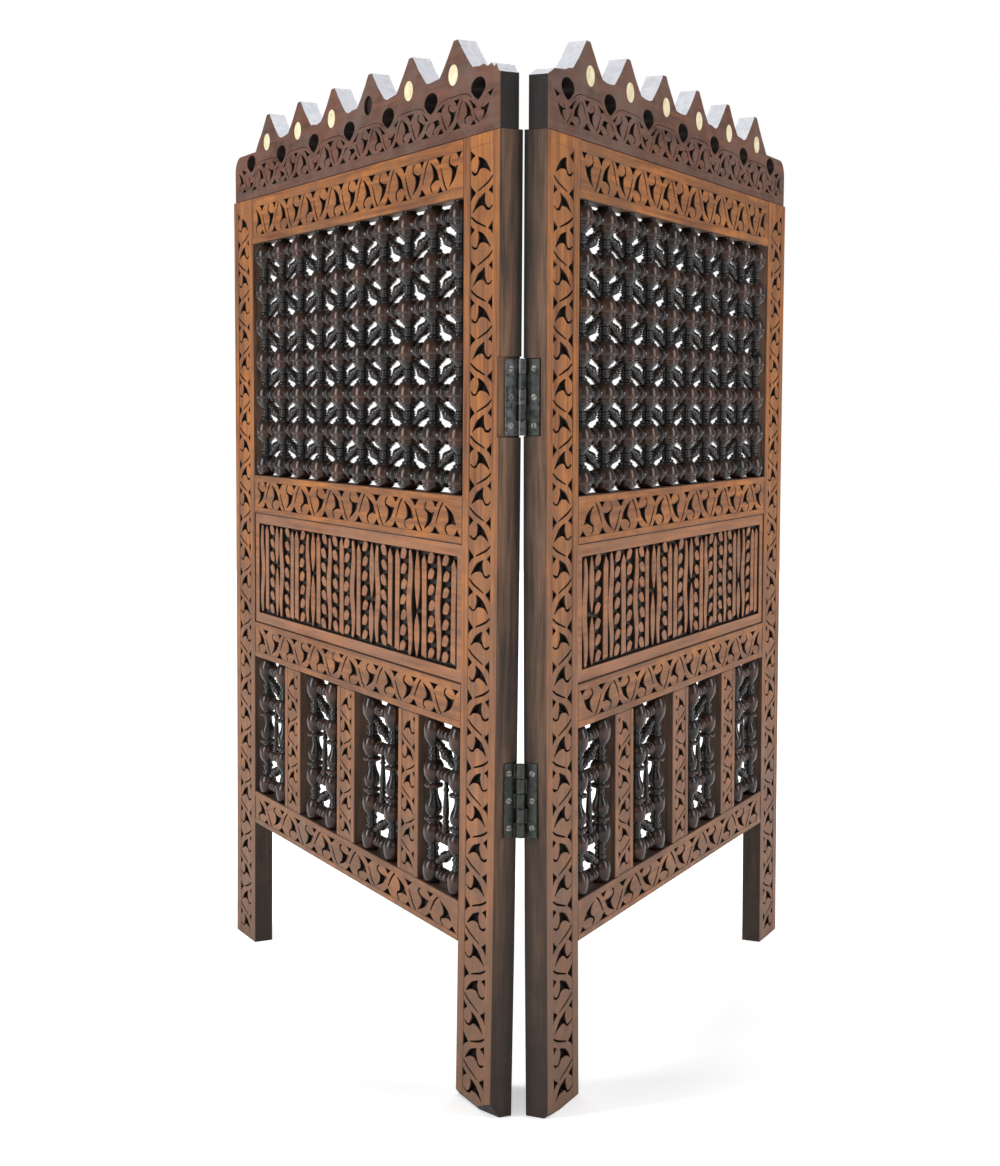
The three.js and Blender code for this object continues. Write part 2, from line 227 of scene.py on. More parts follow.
def new_finish(name):
    """A material with its node tree, its shader and the place of each point on the piece."""
    material = bpy.data.materials.new(name)
    material.use_nodes = True
    tree = material.node_tree
    place = tree.nodes.new("ShaderNodeTexCoord").outputs["Object"]
    return material, tree, tree.nodes["Principled BSDF"], place


def add_relief(tree, height, strength, distance):
    """Fine relief on a finish: its strength, and how high it stands in metres."""
    relief = tree.nodes.new("ShaderNodeBump")
    relief.inputs["Strength"].default_value = strength
    relief.inputs["Distance"].default_value = distance
    tree.links.new(height, relief.inputs["Height"])
    tree.links.new(relief.outputs["Normal"], tree.nodes["Principled BSDF"].inputs["Normal"])


# %% grain group
def make_grain_group():
    """Long streaks along the piece's own Z axis, with finer pores between them."""
    group, given, out = new_group(
        "wood grain",
        [("Vector", "Vector", None), ("Light", "Color", (0.5, 0.3, 0.15, 1)),
         ("Dark", "Color", (0.3, 0.15, 0.07, 1))],
        [("Color", "Color"), ("Height", "Float")],
    )
    vector = given.outputs["Vector"]
    streaks = noise_at(group, stretched(group, vector, (1, 1, 0.05)), scale=190, detail=5, roughness=0.62)
    bands = noise_at(group, stretched(group, vector, (1, 1, 0.12)), scale=45, detail=3, roughness=0.5)
    pores = noise_at(group, stretched(group, vector, (1, 1, 0.03)), scale=900, detail=2, roughness=0.5)
    tone = ramp(group, weighted(group, streaks, 0.6, bands, 0.4), 0.38, 0.60)
    group.links.new(blended(group, tone, given.outputs["Dark"], given.outputs["Light"]), out.inputs["Color"])
    group.links.new(weighted(group, streaks, 0.7, pores, 0.3), out.inputs["Height"])
    return group


# %% ageing group
def make_ageing_group():
    """A slow drift towards a greyed colour, more of it low down, and small dark stains."""
    group, given, out = new_group(
        "ageing",
        [("Vector", "Vector", None), ("Color", "Color", None), ("Greyed", "Color", (0.3, 0.2, 0.15, 1)),
         ("Stain", "Color", (0.05, 0.03, 0.02, 1)), ("Amount", "Float", 0.5), ("Low Grey", "Float", 0.4)],
        [("Color", "Color"), ("Roughness", "Float")],
    )
    vector = given.outputs["Vector"]
    slow = ramp(group, noise_at(group, vector, scale=7, detail=4, roughness=0.6), 0.38, 0.66)
    quick = ramp(group, noise_at(group, vector, scale=48, detail=3, roughness=0.55), 0.40, 0.62)
    drift = weighted(group, slow, 0.55, quick, 0.55)
    split = group.nodes.new("ShaderNodeSeparateXYZ")
    group.links.new(vector, split.inputs[0])
    # Darker and greyer towards the bottom, by height alone.
    lowness = ramp(group, split.outputs["Z"], 0.62, 0.0)
    low_part = math_of(group, "MULTIPLY", lowness, given.outputs["Low Grey"])
    greyed = math_of(group, "ADD", math_of(group, "MULTIPLY", drift, given.outputs["Amount"]), low_part)
    clamp = group.nodes.new("ShaderNodeClamp")
    group.links.new(greyed, clamp.inputs["Value"])
    aged = blended(group, clamp.outputs[0], given.outputs["Color"], given.outputs["Greyed"])
    spots = ramp(group, noise_at(group, vector, scale=70, detail=5, roughness=0.7), 0.62, 0.8)
    stained = blended(group, math_of(group, "MULTIPLY", spots, 0.6), aged, given.outputs["Stain"])
    group.links.new(stained, out.inputs["Color"])
    rough = between(group, noise_at(group, vector, scale=24, detail=3, roughness=0.6), 0.42, 0.72)
    group.links.new(rough, out.inputs["Roughness"])
    return group


GRAIN = make_grain_group()
AGEING = make_ageing_group()

# %% [markdown]
# ## The woods
# Carved fronts are oiled orange-brown, the sawn slopes of the cresting are painted pale as lit from above,
# the narrow edges are darker, more so low down, with painted shade in the gap at the hinge, and the pockets
# are painted near black as shade.
# The grain follows each board: upright in stiles and muntins, along the leaf in rails.

# %% wood
UPRIGHT = (0.0, 0.0, 0.0)
ALONG = (0.0, math.radians(90), 0.0)
YAW = {"right": -LEAF_TURN, "left": LEAF_TURN}
GRAIN_HEIGHT = 0.0006
SHADE_REACH_FROM_HINGE = 0.017


def wood(
    name, light, dark, greyed, amount, low_grey,
    turn=UPRIGHT, yaw=0.0, bump=0.25, stain=None, joint_grime=None,
):
    """A wood from its two grain colours, its greyed colour and how much of it has greyed."""
    material, tree, shader, place = new_finish(name)
    settled = tree.nodes.new("ShaderNodeVectorRotate")
    settled.rotation_type = "Z_AXIS"
    settled.inputs["Angle"].default_value = yaw
    tree.links.new(place, settled.inputs["Vector"])
    turned = tree.nodes.new("ShaderNodeMapping")
    turned.inputs["Rotation"].default_value = turn
    tree.links.new(settled.outputs["Vector"], turned.inputs["Vector"])
    grain = tree.nodes.new("ShaderNodeGroup")
    grain.node_tree = GRAIN
    grain.inputs["Light"].default_value = (*light, 1)
    grain.inputs["Dark"].default_value = (*dark, 1)
    tree.links.new(turned.outputs["Vector"], grain.inputs["Vector"])
    age = tree.nodes.new("ShaderNodeGroup")
    age.node_tree = AGEING
    age.inputs["Greyed"].default_value = (*greyed, 1)
    age.inputs["Amount"].default_value = amount
    age.inputs["Low Grey"].default_value = low_grey
    if stain:
        age.inputs["Stain"].default_value = (*stain, 1)
    tree.links.new(place, age.inputs["Vector"])
    tree.links.new(grain.outputs["Color"], age.inputs["Color"])
    color = age.outputs["Color"]
    # Painted shade: the edge wood turns near black within a short reach of the hinge line, for the gap where
    # the two leaves meet.
    if joint_grime:
        split = tree.nodes.new("ShaderNodeSeparateXYZ")
        tree.links.new(place, split.inputs[0])
        distance = math_of(tree, "ABSOLUTE", split.outputs["X"], 0)
        unshaded = ramp(tree, distance, MM, SHADE_REACH_FROM_HINGE)
        color = blended(tree, unshaded, (*joint_grime, 1), color)
    tree.links.new(color, shader.inputs["Base Color"])
    tree.links.new(age.outputs["Roughness"], shader.inputs["Roughness"])
    add_relief(tree, grain.outputs["Height"], bump, GRAIN_HEIGHT)
    shader.inputs["Specular IOR Level"].default_value = 0.22
    return material


def wood_along(name, colors, amount, low_grey, **finish):
    """The same wood for the boards that run along each leaf, with its grain turned that way."""
    return {
        side: wood(f"{name}_{side}", *colors, amount, low_grey, turn=ALONG, yaw=YAW[side], **finish)
        for side in SIDES
    }


# %% the finishes of the boards
FRONT_COLORS = ((0.33, 0.118, 0.025), (0.098, 0.030, 0.009), (0.112, 0.056, 0.031))
PANEL_COLORS = ((0.27, 0.105, 0.036), (0.115, 0.040, 0.015), (0.19, 0.100, 0.062))
CREST_COLORS = ((0.120, 0.042, 0.022), (0.045, 0.017, 0.010), (0.105, 0.068, 0.054))
ARRIS_RIM_SHADE_COLORS = ((0.10, 0.040, 0.016), (0.04, 0.016, 0.008), (0.08, 0.045, 0.03))
EDGE_COLORS = ((0.15, 0.080, 0.046), (0.024, 0.013, 0.008), (0.022, 0.014, 0.010))
POCKET_SHADE_COLORS = ((0.016, 0.010, 0.007), (0.005, 0.0035, 0.003), (0.010, 0.008, 0.007))
LIT_SLOPE_COLORS = ((0.66, 0.67, 0.70), (0.50, 0.51, 0.55), (0.60, 0.60, 0.63))
# Near-black painted shade for the gap between the leaves at the hinge.
HINGE_GAP_SHADE = (0.006, 0.005, 0.004)
upright_front = wood("carved_face_upright", *FRONT_COLORS, 0.6, 0.7)
along_front = wood_along("carved_face", FRONT_COLORS, 0.6, 0.6)
panel_front = wood_along("panel_face", PANEL_COLORS, 0.6, 0.2)
crest_front = wood_along("cresting_face", CREST_COLORS, 0.75, 0.0)
# Painted shade: the cut arris round every pocket is darkened as the rim of shade along it; the outer bevels
# of the boards share this wood.
rim_shade_arris_wood = wood("arris_rim_shade", *ARRIS_RIM_SHADE_COLORS, 0.5, 0.3)
edge_wood = wood("edge_wood", *EDGE_COLORS, 0.15, 0.9, bump=0.8, joint_grime=HINGE_GAP_SHADE)
edge_along = wood_along("edge_wood", EDGE_COLORS, 0.15, 0.9, bump=0.8, joint_grime=HINGE_GAP_SHADE)
# Painted shade: the pockets, the walls and floors of the carving, the walls of the cresting's openings and
# the broken faces of the feet take this near-black wood for the shade in them.
pocket_shade_wood = wood("pocket_shade_wood", *POCKET_SHADE_COLORS, 0.5, 0.0)
# Painted light: the upward sawn slopes of the merlons are coloured pale grey for the light that falls on
# them from above; the dark speckles are real stains.
lit_slope_wood = wood("lit_sawn_slope", *LIT_SLOPE_COLORS, 0.5, 0.0, bump=0.6, stain=(0.08, 0.07, 0.07))
print(len(bpy.data.materials), "woods")

# %% [markdown]
# ## Cutting carved bands
# The bands are flush relief: the carver kept the board's face and only sank the ground between
# the stems and leaves. That is what a fret-cut sheet looks like from the front, so each band is
# a flat filled curve, with one opening for each pocket, laid over a sunk floor painted near black
# as shade. One unit of the vine is drawn in numbers from 0 to 1 and repeated, mirrored each time,
# along the board.

# %% vine
HOOKED_POCKET = (
    (0.33, 0.27), (0.50, 0.34), (0.70, 0.45), (0.95, 0.83), (0.70, 0.66), (0.50, 0.62), (0.40, 0.66),
    (0.31, 0.78), (0.14, 0.79), (0.02, 0.68), (0.06, 0.63), (0.16, 0.72), (0.26, 0.71), (0.33, 0.60),
    (0.37, 0.44),
)
FAR_NOTCH = ((1.05, -0.08), (0.94, 0.10), (0.74, 0.25), (0.91, 0.35), (1.05, 0.56))
NEAR_NOTCH = ((-0.05, 0.02), (0.06, 0.13), (0.22, 0.24), (0.09, 0.31), (-0.05, 0.46))
STEM_LINE = (
    (0.03, -0.16), (0.22, -0.02), (0.46, 0.09), (0.69, 0.19), (0.69, 0.24), (0.45, 0.155), (0.20, 0.055),
    (0.01, -0.09),
)
VINE_SHAPES = (HOOKED_POCKET, FAR_NOTCH, NEAR_NOTCH, STEM_LINE)
VINE_JITTER = 0.016
CORNER_CUT = 0.22


def softened(points):
    """The outline with each corner cut once, as a gouge leaves it."""
    cut = []
    for here, ahead in zip(points, points[1:] + points[:1]):
        for share in (CORNER_CUT, 1 - CORNER_CUT):
            cut.append(tuple((1 - share) * a + share * b for a, b in zip(here, ahead)))
    return cut


def vine(place, units, flip, chance):
    """The pockets of a run of vine. place(across, along) turns a unit's numbers into (u, z)."""
    outlines = []
    for unit in range(units):
        turned = (unit % 2 == 0) == flip
        for shape in VINE_SHAPES:
            points = []
            for across, along in shape:
                if 0 < across < 1 and shape is not STEM_LINE:
                    across += chance.uniform(-VINE_JITTER, VINE_JITTER)
                    along += chance.uniform(-VINE_JITTER, VINE_JITTER)
                points.append((1 - across if turned else across, unit + along))
            outlines.append([place(*point) for point in softened(points)])
    return outlines


# %% flat curve to board
FRET_THICKNESS = 5.0
FRET_FLARE = 0.7
MERGE = 1e-4


def outward(vert):
    """The direction in the sheet that leaves it at a vertex of its rim."""
    total = Vector()
    for edge in vert.link_edges:
        if edge.is_boundary:
            loop = edge.link_loops[0]
            along = loop.link_loop_next.vert.co - loop.vert.co
            total += along.cross(loop.face.normal).normalized()
    return total.normalized() if total.length > 1e-6 else total


def fret(outlines, thickness, arris, front):
    """A flat filled curve, given its thickness, as a mesh whose face is at the depth front."""
    curve = bpy.data.curves.new("fret", "CURVE")
    curve.dimensions = "2D"
    curve.fill_mode = "FRONT"
    for outline in outlines:
        spline = curve.splines.new("POLY")
        spline.points.add(len(outline) - 1)
        for point, (u, z) in zip(spline.points, outline):
            point.co = (u, z, 0, 1)
        spline.use_cyclic_u = True
    stand_in = bpy.data.objects.new("fret", curve)
    mesh = bpy.data.meshes.new_from_object(stand_in)
    bm = bmesh.new()
    bm.from_mesh(mesh)
    bpy.data.objects.remove(stand_in)
    bpy.data.curves.remove(curve)
    bpy.data.meshes.remove(mesh)
    bmesh.ops.remove_doubles(bm, verts=bm.verts, dist=MERGE)
    bm.normal_update()
    bmesh.ops.reverse_faces(bm, faces=[face for face in bm.faces if face.normal.z < 0])
    bmesh.ops.rotate(bm, verts=bm.verts, cent=(0, 0, 0), matrix=Matrix.Rotation(math.pi / 2, 3, "X"))
    bmesh.ops.translate(bm, verts=bm.verts, vec=(0, front, 0))
    bm.normal_update()
    back = bmesh.ops.duplicate(bm, geom=bm.verts[:] + bm.edges[:] + bm.faces[:])
    back_verts = [item for item in back["geom"] if isinstance(item, bmesh.types.BMVert)]
    back_faces = [item for item in back["geom"] if isinstance(item, bmesh.types.BMFace)]
    bmesh.ops.translate(bm, verts=back_verts, vec=(0, thickness, 0))
    hidden = set(back_verts)
    rim = [edge for edge in bm.edges if edge.is_boundary and edge.verts[0] not in hidden]
    flare = {tuple(vert.co): outward(vert) * arris * FRET_FLARE for edge in rim for vert in edge.verts}
    for ring in range(2):
        grown = bmesh.ops.extrude_edge_only(bm, edges=rim)["geom"]
        rim = [item for item in grown if isinstance(item, bmesh.types.BMEdge)]
        for vert in [item for item in grown if isinstance(item, bmesh.types.BMVert)]:
            if ring == 0:
                vert.co += flare[tuple(vert.co)] + Vector((0, arris, 0))
            else:
                vert.co.y = front + thickness
    bmesh.ops.reverse_faces(bm, faces=back_faces)
    bmesh.ops.remove_doubles(bm, verts=bm.verts, dist=MERGE)
    bm.normal_update()
    return bm


def rectangle(u0, u1, z0, z1, steps=1):
    """A rectangle's outline, with extra points up its long sides so that it can bow."""
    rise = [z0 + (z1 - z0) * step / steps for step in range(steps + 1)]
    return [(u0, z) for z in reversed(rise)] + [(u1, z) for z in rise]


# %% joining and painting
FACE, POCKET, EDGE, ARRIS = range(4)
FULL_FRONT = -0.95
SLANTED_FRONT = -0.3


def joined(meshes):
    """Several meshes as one, each given back to memory."""
    whole = bmesh.new()
    for bm in meshes:
        mesh = bpy.data.meshes.new("joined")
        bm.to_mesh(mesh)
        bm.free()
        whole.from_mesh(mesh)
        bpy.data.meshes.remove(mesh)
    return whole


def paint_fret(bm):
    """Faces to the front are face wood, slanted ones the cut arris in its dark painted rim shade, and the
    rest pocket walls in painted shade.
    """
    for face in bm.faces:
        if face.normal.y < FULL_FRONT:
            face.material_index = FACE
        elif face.normal.y < SLANTED_FRONT:
            face.material_index = ARRIS
        else:
            face.material_index = POCKET
    return bm


# %% [markdown]
# ## Frame boards
# A board starts as a cube scaled to its size. Planes cut its face where the carved band begins
# and ends, and that part of the face is inset and pushed in: first by a hair for the arris of its
# border, painted dark as a rim of shade, then down to the floor of the carving, painted dark as shade.

# %% board
FLOOR_DEPTH = 5.5
BOARD_ARRIS = 0.9
BORDER_ARRIS = 0.5
BORDER_ARRIS_DEPTH = 0.7
WALL_SLOPE = 0.05
SQUARE_ON = 0.98
SLANTED_BACK = 0.3


def block(x0, x1, y0, y1, z0, z1, arris):
    """A squared piece with small bevels along its edges."""
    bm = bmesh.new()
    bmesh.ops.create_cube(bm, size=1.0)
    bmesh.ops.scale(bm, verts=bm.verts, vec=(x1 - x0, y1 - y0, z1 - z0))
    middle = ((x0 + x1) / 2, (y0 + y1) / 2, (z0 + z1) / 2)
    bmesh.ops.translate(bm, verts=bm.verts, vec=middle)
    bmesh.ops.bevel(
        bm, geom=bm.edges[:], offset=arris, segments=2, profile=0.5, affect="EDGES", material=-1,
    )
    return bm


def cut_plane(bm, place, direction, clear=False):
    bmesh.ops.bisect_plane(
        bm, geom=bm.verts[:] + bm.edges[:] + bm.faces[:], plane_co=place, plane_no=direction,
        clear_outer=clear,
    )


def board(u0, u1, z0, z1, thickness, window, steps=1, front=0.0, arris=BOARD_ARRIS):
    """A frame board with a sunk window (u0, u1, z0, z1) in its face."""
    bm = block(u0, u1, front, thickness, z0, z1, arris)
    for face in bm.faces:
        if face.normal.y < -SQUARE_ON:
            face.material_index = FACE
        elif max(abs(c) for c in face.normal) > SQUARE_ON or face.normal.y > SLANTED_BACK:
            face.material_index = EDGE
        else:
            face.material_index = ARRIS
    w0, w1, wz0, wz1 = window
    for step in range(1, steps):
        cut_plane(bm, (0, 0, z0 + (z1 - z0) * step / steps), (0, 0, 1))
    for place in (w0, w1):
        cut_plane(bm, (place, 0, 0), (1, 0, 0))
    for place in (wz0, wz1):
        cut_plane(bm, (0, 0, place), (0, 0, 1))
    sunk = []
    for face in bm.faces:
        middle = face.calc_center_median()
        if face.normal.y < -SQUARE_ON and w0 < middle.x < w1 and wz0 < middle.z < wz1:
            sunk.append(face)
    rim = bmesh.ops.inset_region(
        bm, faces=sunk, thickness=BORDER_ARRIS, depth=-BORDER_ARRIS_DEPTH, use_even_offset=True,
    )
    # The border's arris takes the dark painted rim shade.
    for face in rim["faces"]:
        face.material_index = ARRIS
    walls = bmesh.ops.inset_region(
        bm, faces=sunk, thickness=WALL_SLOPE, depth=BORDER_ARRIS_DEPTH - FLOOR_DEPTH,
        use_even_offset=True,
    )
    # The sunk floor and its walls take the pocket's near-black painted shade.
    for face in walls["faces"] + sunk:
        face.material_index = POCKET
    return bm


# %% carved members
BAND_SINK = 0.45
BAND_ARRIS = 0.55
UNDERLAP = 2.0
POCKET_MARGIN = 0.5
SHEET_MARGIN = 0.6


def kept_within(value, low, high):
    return min(max(value, low), high)


def carved_band(window, units, upright, flip, chance, steps=1):
    """The fret-cut vine that fills a window, reaching a little under its border."""
    u0, u1, z0, z1 = window
    unit = ((z1 - z0) if upright else (u1 - u0)) / units

    def up(across, along):
        return u0 + across * (u1 - u0), z1 - along * unit

    def level_run(across, along):
        return u0 + along * unit, z0 + across * (z1 - z0)

    place = up if upright else level_run
    pockets = vine(place, units, flip, chance)
    inside = []
    for outline in pockets:
        us = [point[0] for point in outline]
        zs = [point[1] for point in outline]
        along_low, along_high = (min(zs), max(zs)) if upright else (min(us), max(us))
        start, end = (z0, z1) if upright else (u0, u1)
        if along_low > start + POCKET_MARGIN and along_high < end - POCKET_MARGIN:
            inside.append(outline)
    edge = rectangle(u0 - UNDERLAP, u1 + UNDERLAP, z0 - UNDERLAP, z1 + UNDERLAP, steps)
    if upright:
        low, high = u0 - UNDERLAP + SHEET_MARGIN, u1 + UNDERLAP - SHEET_MARGIN
        inside = [[(kept_within(u, low, high), z) for u, z in pocket] for pocket in inside]
    else:
        low, high = z0 - UNDERLAP + SHEET_MARGIN, z1 + UNDERLAP - SHEET_MARGIN
        inside = [[(u, kept_within(z, low, high)) for u, z in pocket] for pocket in inside]
    return paint_fret(fret([edge] + inside, FRET_THICKNESS, BAND_ARRIS, BAND_SINK))


STILE_BORDER = 15.0
STILE_ARRIS = 0.5
TIGHT_GAP = 0.1
MEETING_DEPTH = 20.0
MEETING_REACH = 0.3
BAND_FLOOR_GAP = 3.0
BOW_STEPS = 12
STILE_UNITS = 27
MUNTIN_BORDER = 9.5
MUNTIN_UNITS = 6
WINDOW_OVERRUN = 1.0
RAIL_BORDERS = {"top": (10.0, 11.5), "upper": (7.0, 8.0), "lower": (7.5, 7.5), "bottom": (6.5, 7.5)}
RAIL_UNITS = {"top": 14, "upper": 12, "lower": 12, "bottom": 11}
RAIL_LEVELS = {"top": TOP_RAIL, "upper": UPPER_RAIL, "lower": LOWER_RAIL, "bottom": BOTTOM_RAIL}


def stile_mesh(u0, u1, chance):
    """A stile and its band. The two near stiles' back corners reach out until they meet."""
    left, right = u0 + STILE_BORDER, u1 - STILE_BORDER
    head = STILE_HEIGHT - RAIL_BORDERS["top"][1]
    gap = TIGHT_GAP if u0 == 0 else 0.0
    body = board(
        u0 - gap, u1, 0, STILE_HEIGHT, STILE_THICKNESS + gap, (left, right, -WINDOW_OVERRUN, head),
        BOW_STEPS, arris=STILE_ARRIS,
    )
    for vert in body.verts:
        if vert.co.x < 1 and vert.co.y > MEETING_DEPTH:
            vert.co.x -= MEETING_REACH
    window = (left, right, BAND_FLOOR_GAP, head)
    return body, carved_band(window, STILE_UNITS, True, True, chance, BOW_STEPS)


def rail_mesh(name, chance):
    low, high = RAIL_LEVELS[name]
    below, above = RAIL_BORDERS[name]
    u0, u1 = NEAR_STILE + JOINT_GAP, FAR_STILE - JOINT_GAP
    foot, head = low + below, high - above
    floor = (u0 - WINDOW_OVERRUN, u1 + WINDOW_OVERRUN, foot, head)
    body = board(u0, u1, low, high, RAIL_THICKNESS, floor)
    window = (u0 + WINDOW_OVERRUN, u1 - WINDOW_OVERRUN, foot, head)
    flip = name in ("top", "lower")
    return joined([body, carved_band(window, RAIL_UNITS[name], False, flip, chance)])


def muntin_mesh(centre, chance):
    low, high = BOTTOM_RAIL[1] + JOINT_GAP, LOWER_RAIL[0] - JOINT_GAP
    u0, u1 = centre - MUNTIN_WIDTH / 2, centre + MUNTIN_WIDTH / 2
    left, right = u0 + MUNTIN_BORDER, u1 - MUNTIN_BORDER
    floor = (left, right, low - WINDOW_OVERRUN, high + WINDOW_OVERRUN)
    body = board(u0, u1, low, high, RAIL_THICKNESS, floor, steps=2)
    window = (left, right, low + WINDOW_OVERRUN, high - WINDOW_OVERRUN)
    return joined([body, carved_band(window, MUNTIN_UNITS, True, False, chance)])


# %% [markdown]
# ## The hinged stiles
# The stile at the hinge has two mortises in its edge for the hinge plates. Their sides are cut
# into the board with planes, and the points between the planes are pushed in. The left foot has
# lost a piece of its front and the right foot a chip, and planes slice these away.

# %% mortise and foot
HINGE_LEVELS = {name: level(f"right_{name}_hinge") for name in ("upper", "lower")}
# Each mortise: how deep it starts behind the face, how far it goes in, and its play.
MORTISES = {
    "left": {"upper": (-2.0, 3.3, 2.0), "lower": (9.4, 0.5, 0.4)},
    "right": {"upper": (6.5, 3.3, 0.6), "lower": (9.4, 0.5, 0.4)},
}


MORTISE_WALL = 0.4
MORTISE_REACH = 1.2
HAIR = 0.05


def mortise(bm, low, high, front, depth):
    wall = MORTISE_WALL
    for place in (low, low + wall, high - wall, high):
        cut_plane(bm, (0, 0, place), (0, 0, 1))
    if front > 0:
        for place in (front - wall, front):
            cut_plane(bm, (0, place, 0), (0, 1, 0))
    for vert in bm.verts:
        inside = low + wall - HAIR <= vert.co.z <= high - wall + HAIR
        if inside and vert.co.x < MORTISE_REACH and vert.co.y > front - HAIR:
            vert.co.x += depth


# Each cut: a point (u, depth, z) of its plane, and the direction of what is cut away.
FEET = {
    "left": (((50, 0, 5), (0.02, -0.80, -0.60)), ((26, 0, 6), (-0.22, -0.80, -0.56))),
    "right": (((20, 0, 2), (-0.12, -0.80, -0.60)),),
}


def broken_foot(bm, side):
    """Slices the broken corner off a foot and closes what the cut has opened."""
    for place, direction in FEET[side]:
        cut_plane(bm, place, direction, clear=True)
        open_edges = [edge for edge in bm.edges if edge.is_boundary]
        closed = bmesh.ops.holes_fill(bm, edges=open_edges)
        # The closed faces take the pocket's painted shade.
        for face in closed["faces"]:
            face.material_index = POCKET


# %% build the frame
FRAME_SEEDS = {"left": 11, "right": 23}


def board_materials(front, edge=edge_wood):
    """The finishes of a board in the order of their slots."""
    return [front, pocket_shade_wood, edge, rim_shade_arris_wood]


def build_frame(side, chance):
    body, band = stile_mesh(0, NEAR_STILE, chance)
    for name, (front, depth, slack) in MORTISES[side].items():
        low, high = HINGE_LEVELS[name]
        mortise(body, low - slack, high + slack, front, depth)
    near = joined([body, band])
    broken_foot(near, side)
    add_piece("near_stile_carved", near, side, board_materials(upright_front), ["near_stile"])
    far = joined(list(stile_mesh(FAR_STILE, LEAF_WIDTH, chance)))
    add_piece("far_stile_carved", far, side, board_materials(upright_front), ["far_stile"])
    for name in RAIL_LEVELS:
        rail = rail_mesh(name, chance)
        finishes = board_materials(along_front[side], edge_along[side])
        add_piece(f"{name}_rail_carved", rail, side, finishes, [f"{name}_rail"])
    for number, centre in enumerate(MUNTINS, 1):
        muntin = muntin_mesh(centre, chance)
        finishes = board_materials(upright_front)
        add_piece(f"muntin_{number}_carved", muntin, side, finishes, [f"muntin_{number}"])


for side in SIDES:
    build_frame(side, random.Random(FRAME_SEEDS[side]))

# %% [markdown]
# ## Ebonised turned wood
# The lattices are turned from thin sticks and blackened. Handling has worn the swellings back to
# red-brown, so each spun mesh carries an attribute, worn, that is 1 on its fattest parts, and
# the finish lets brown through there.

# %% ebonised finish
LACQUER_DARK = (0.003, 0.0025, 0.002, 1)
LACQUER_LIGHT = (0.011, 0.009, 0.008, 1)


def ebonised(name, brown, strength):
    material, tree, shader, place = new_finish(name)
    worn = tree.nodes.new("ShaderNodeAttribute")
    worn.attribute_name = "worn"
    patches = ramp(tree, noise_at(tree, place, scale=34, detail=4, roughness=0.6), 0.35, 0.65)
    amount = math_of(tree, "MULTIPLY", worn.outputs["Fac"], patches)
    amount = math_of(tree, "MULTIPLY", amount, strength)
    cloud = ramp(tree, noise_at(tree, place, scale=60, detail=4, roughness=0.6), 0.3, 0.7)
    black = blended(tree, cloud, LACQUER_DARK, LACQUER_LIGHT)
    tree.links.new(blended(tree, amount, black, (*brown, 1)), shader.inputs["Base Color"])
    rough = between(tree, noise_at(tree, place, scale=90, detail=3, roughness=0.6), 0.14, 0.32)
    tree.links.new(rough, shader.inputs["Roughness"])
    fibres = noise_at(tree, stretched(tree, place, (1, 1, 0.2)), scale=420, detail=3, roughness=0.6)
    add_relief(tree, fibres, 0.15, 0.0005)
    shader.inputs["Specular IOR Level"].default_value = 0.26
    return material


turned_black = ebonised("ebonised_turning", (0.070, 0.024, 0.010), 0.65)
# Painted shade: the oblique pieces sit behind the balls, so their copy of the finish lets through only about
# half as much worn brown.
oblique_shaded_brown = ebonised("shaded_worn_turning", (0.034, 0.013, 0.007), 0.6)

# %% [markdown]
# ## Turning sticks
# A turned stick is a profile spun about its axis. The profile is written as pairs of radius and
# height, as a turner's pattern board shows it. One stick is spun once, kept as a mesh, and copied
# into its places, because a lattice repeats it many times.

# %% turning
TURNED_SEGMENTS = 12
LINK_SEGMENTS = 10
OBLIQUE_SEGMENTS = 8
BARREL_SEGMENTS = 24
WORN_FROM = 0.7
LATTICE_DEPTH = 9.5


def turned(profile, segments=TURNED_SEGMENTS):
    """A profile of (radius, height) pairs spun about the Z axis, as a mesh with its wear."""
    bm = bmesh.new()
    verts = [bm.verts.new((radius, 0, height)) for radius, height in profile]
    edges = [bm.edges.new(pair) for pair in zip(verts, verts[1:])]
    bmesh.ops.spin(
        bm, geom=verts + edges, cent=(0, 0, 0), axis=(0, 0, 1), angle=2 * math.pi,
        steps=segments, use_merge=True, use_duplicate=False,
    )
    bmesh.ops.remove_doubles(bm, verts=bm.verts, dist=MERGE)
    ends = [edge for edge in bm.edges if edge.is_boundary]
    if ends:
        bmesh.ops.holes_fill(bm, edges=ends)
    bmesh.ops.recalc_face_normals(bm, faces=bm.faces)
    widest = max(radius for radius, _ in profile)
    worn = bm.verts.layers.float.new("worn")
    for vert in bm.verts:
        radius = math.hypot(vert.co.x, vert.co.y) / widest
        vert[worn] = kept_within((radius - WORN_FROM) / (1 - WORN_FROM), 0.0, 1.0)
    mesh = bpy.data.meshes.new("turned")
    bm.to_mesh(mesh)
    bm.free()
    return mesh


def put(bm, mesh, place, tilt=None, finish=0):
    """Copies a turned mesh into a piece, tilted first and then moved to (u, depth, z)."""
    start = len(bm.verts)
    first_face = len(bm.faces)
    bm.from_mesh(mesh)
    bm.verts.ensure_lookup_table()
    bm.faces.ensure_lookup_table()
    fresh = bm.verts[start:]
    if tilt:
        bmesh.ops.rotate(bm, verts=fresh, cent=(0, 0, 0), matrix=tilt)
    bmesh.ops.translate(bm, verts=fresh, vec=place)
    for face in bm.faces[first_face:]:
        face.material_index = finish


def both_ways(half):
    """A profile given from its middle outwards, mirrored about the middle."""
    return [(radius, -height) for radius, height in reversed(half)] + list(half[1:])


ALONG_LEAF = Matrix.Rotation(math.pi / 2, 3, "Y")

# %% [markdown]
# ## The upper lattice
# Ten sticks of seven barrel-shaped balls stand between the rails. At every ball a short turned
# link with a disc in its middle joins two sticks, and in every cell between the necks a small
# oblique piece leans alternately one way and the other.

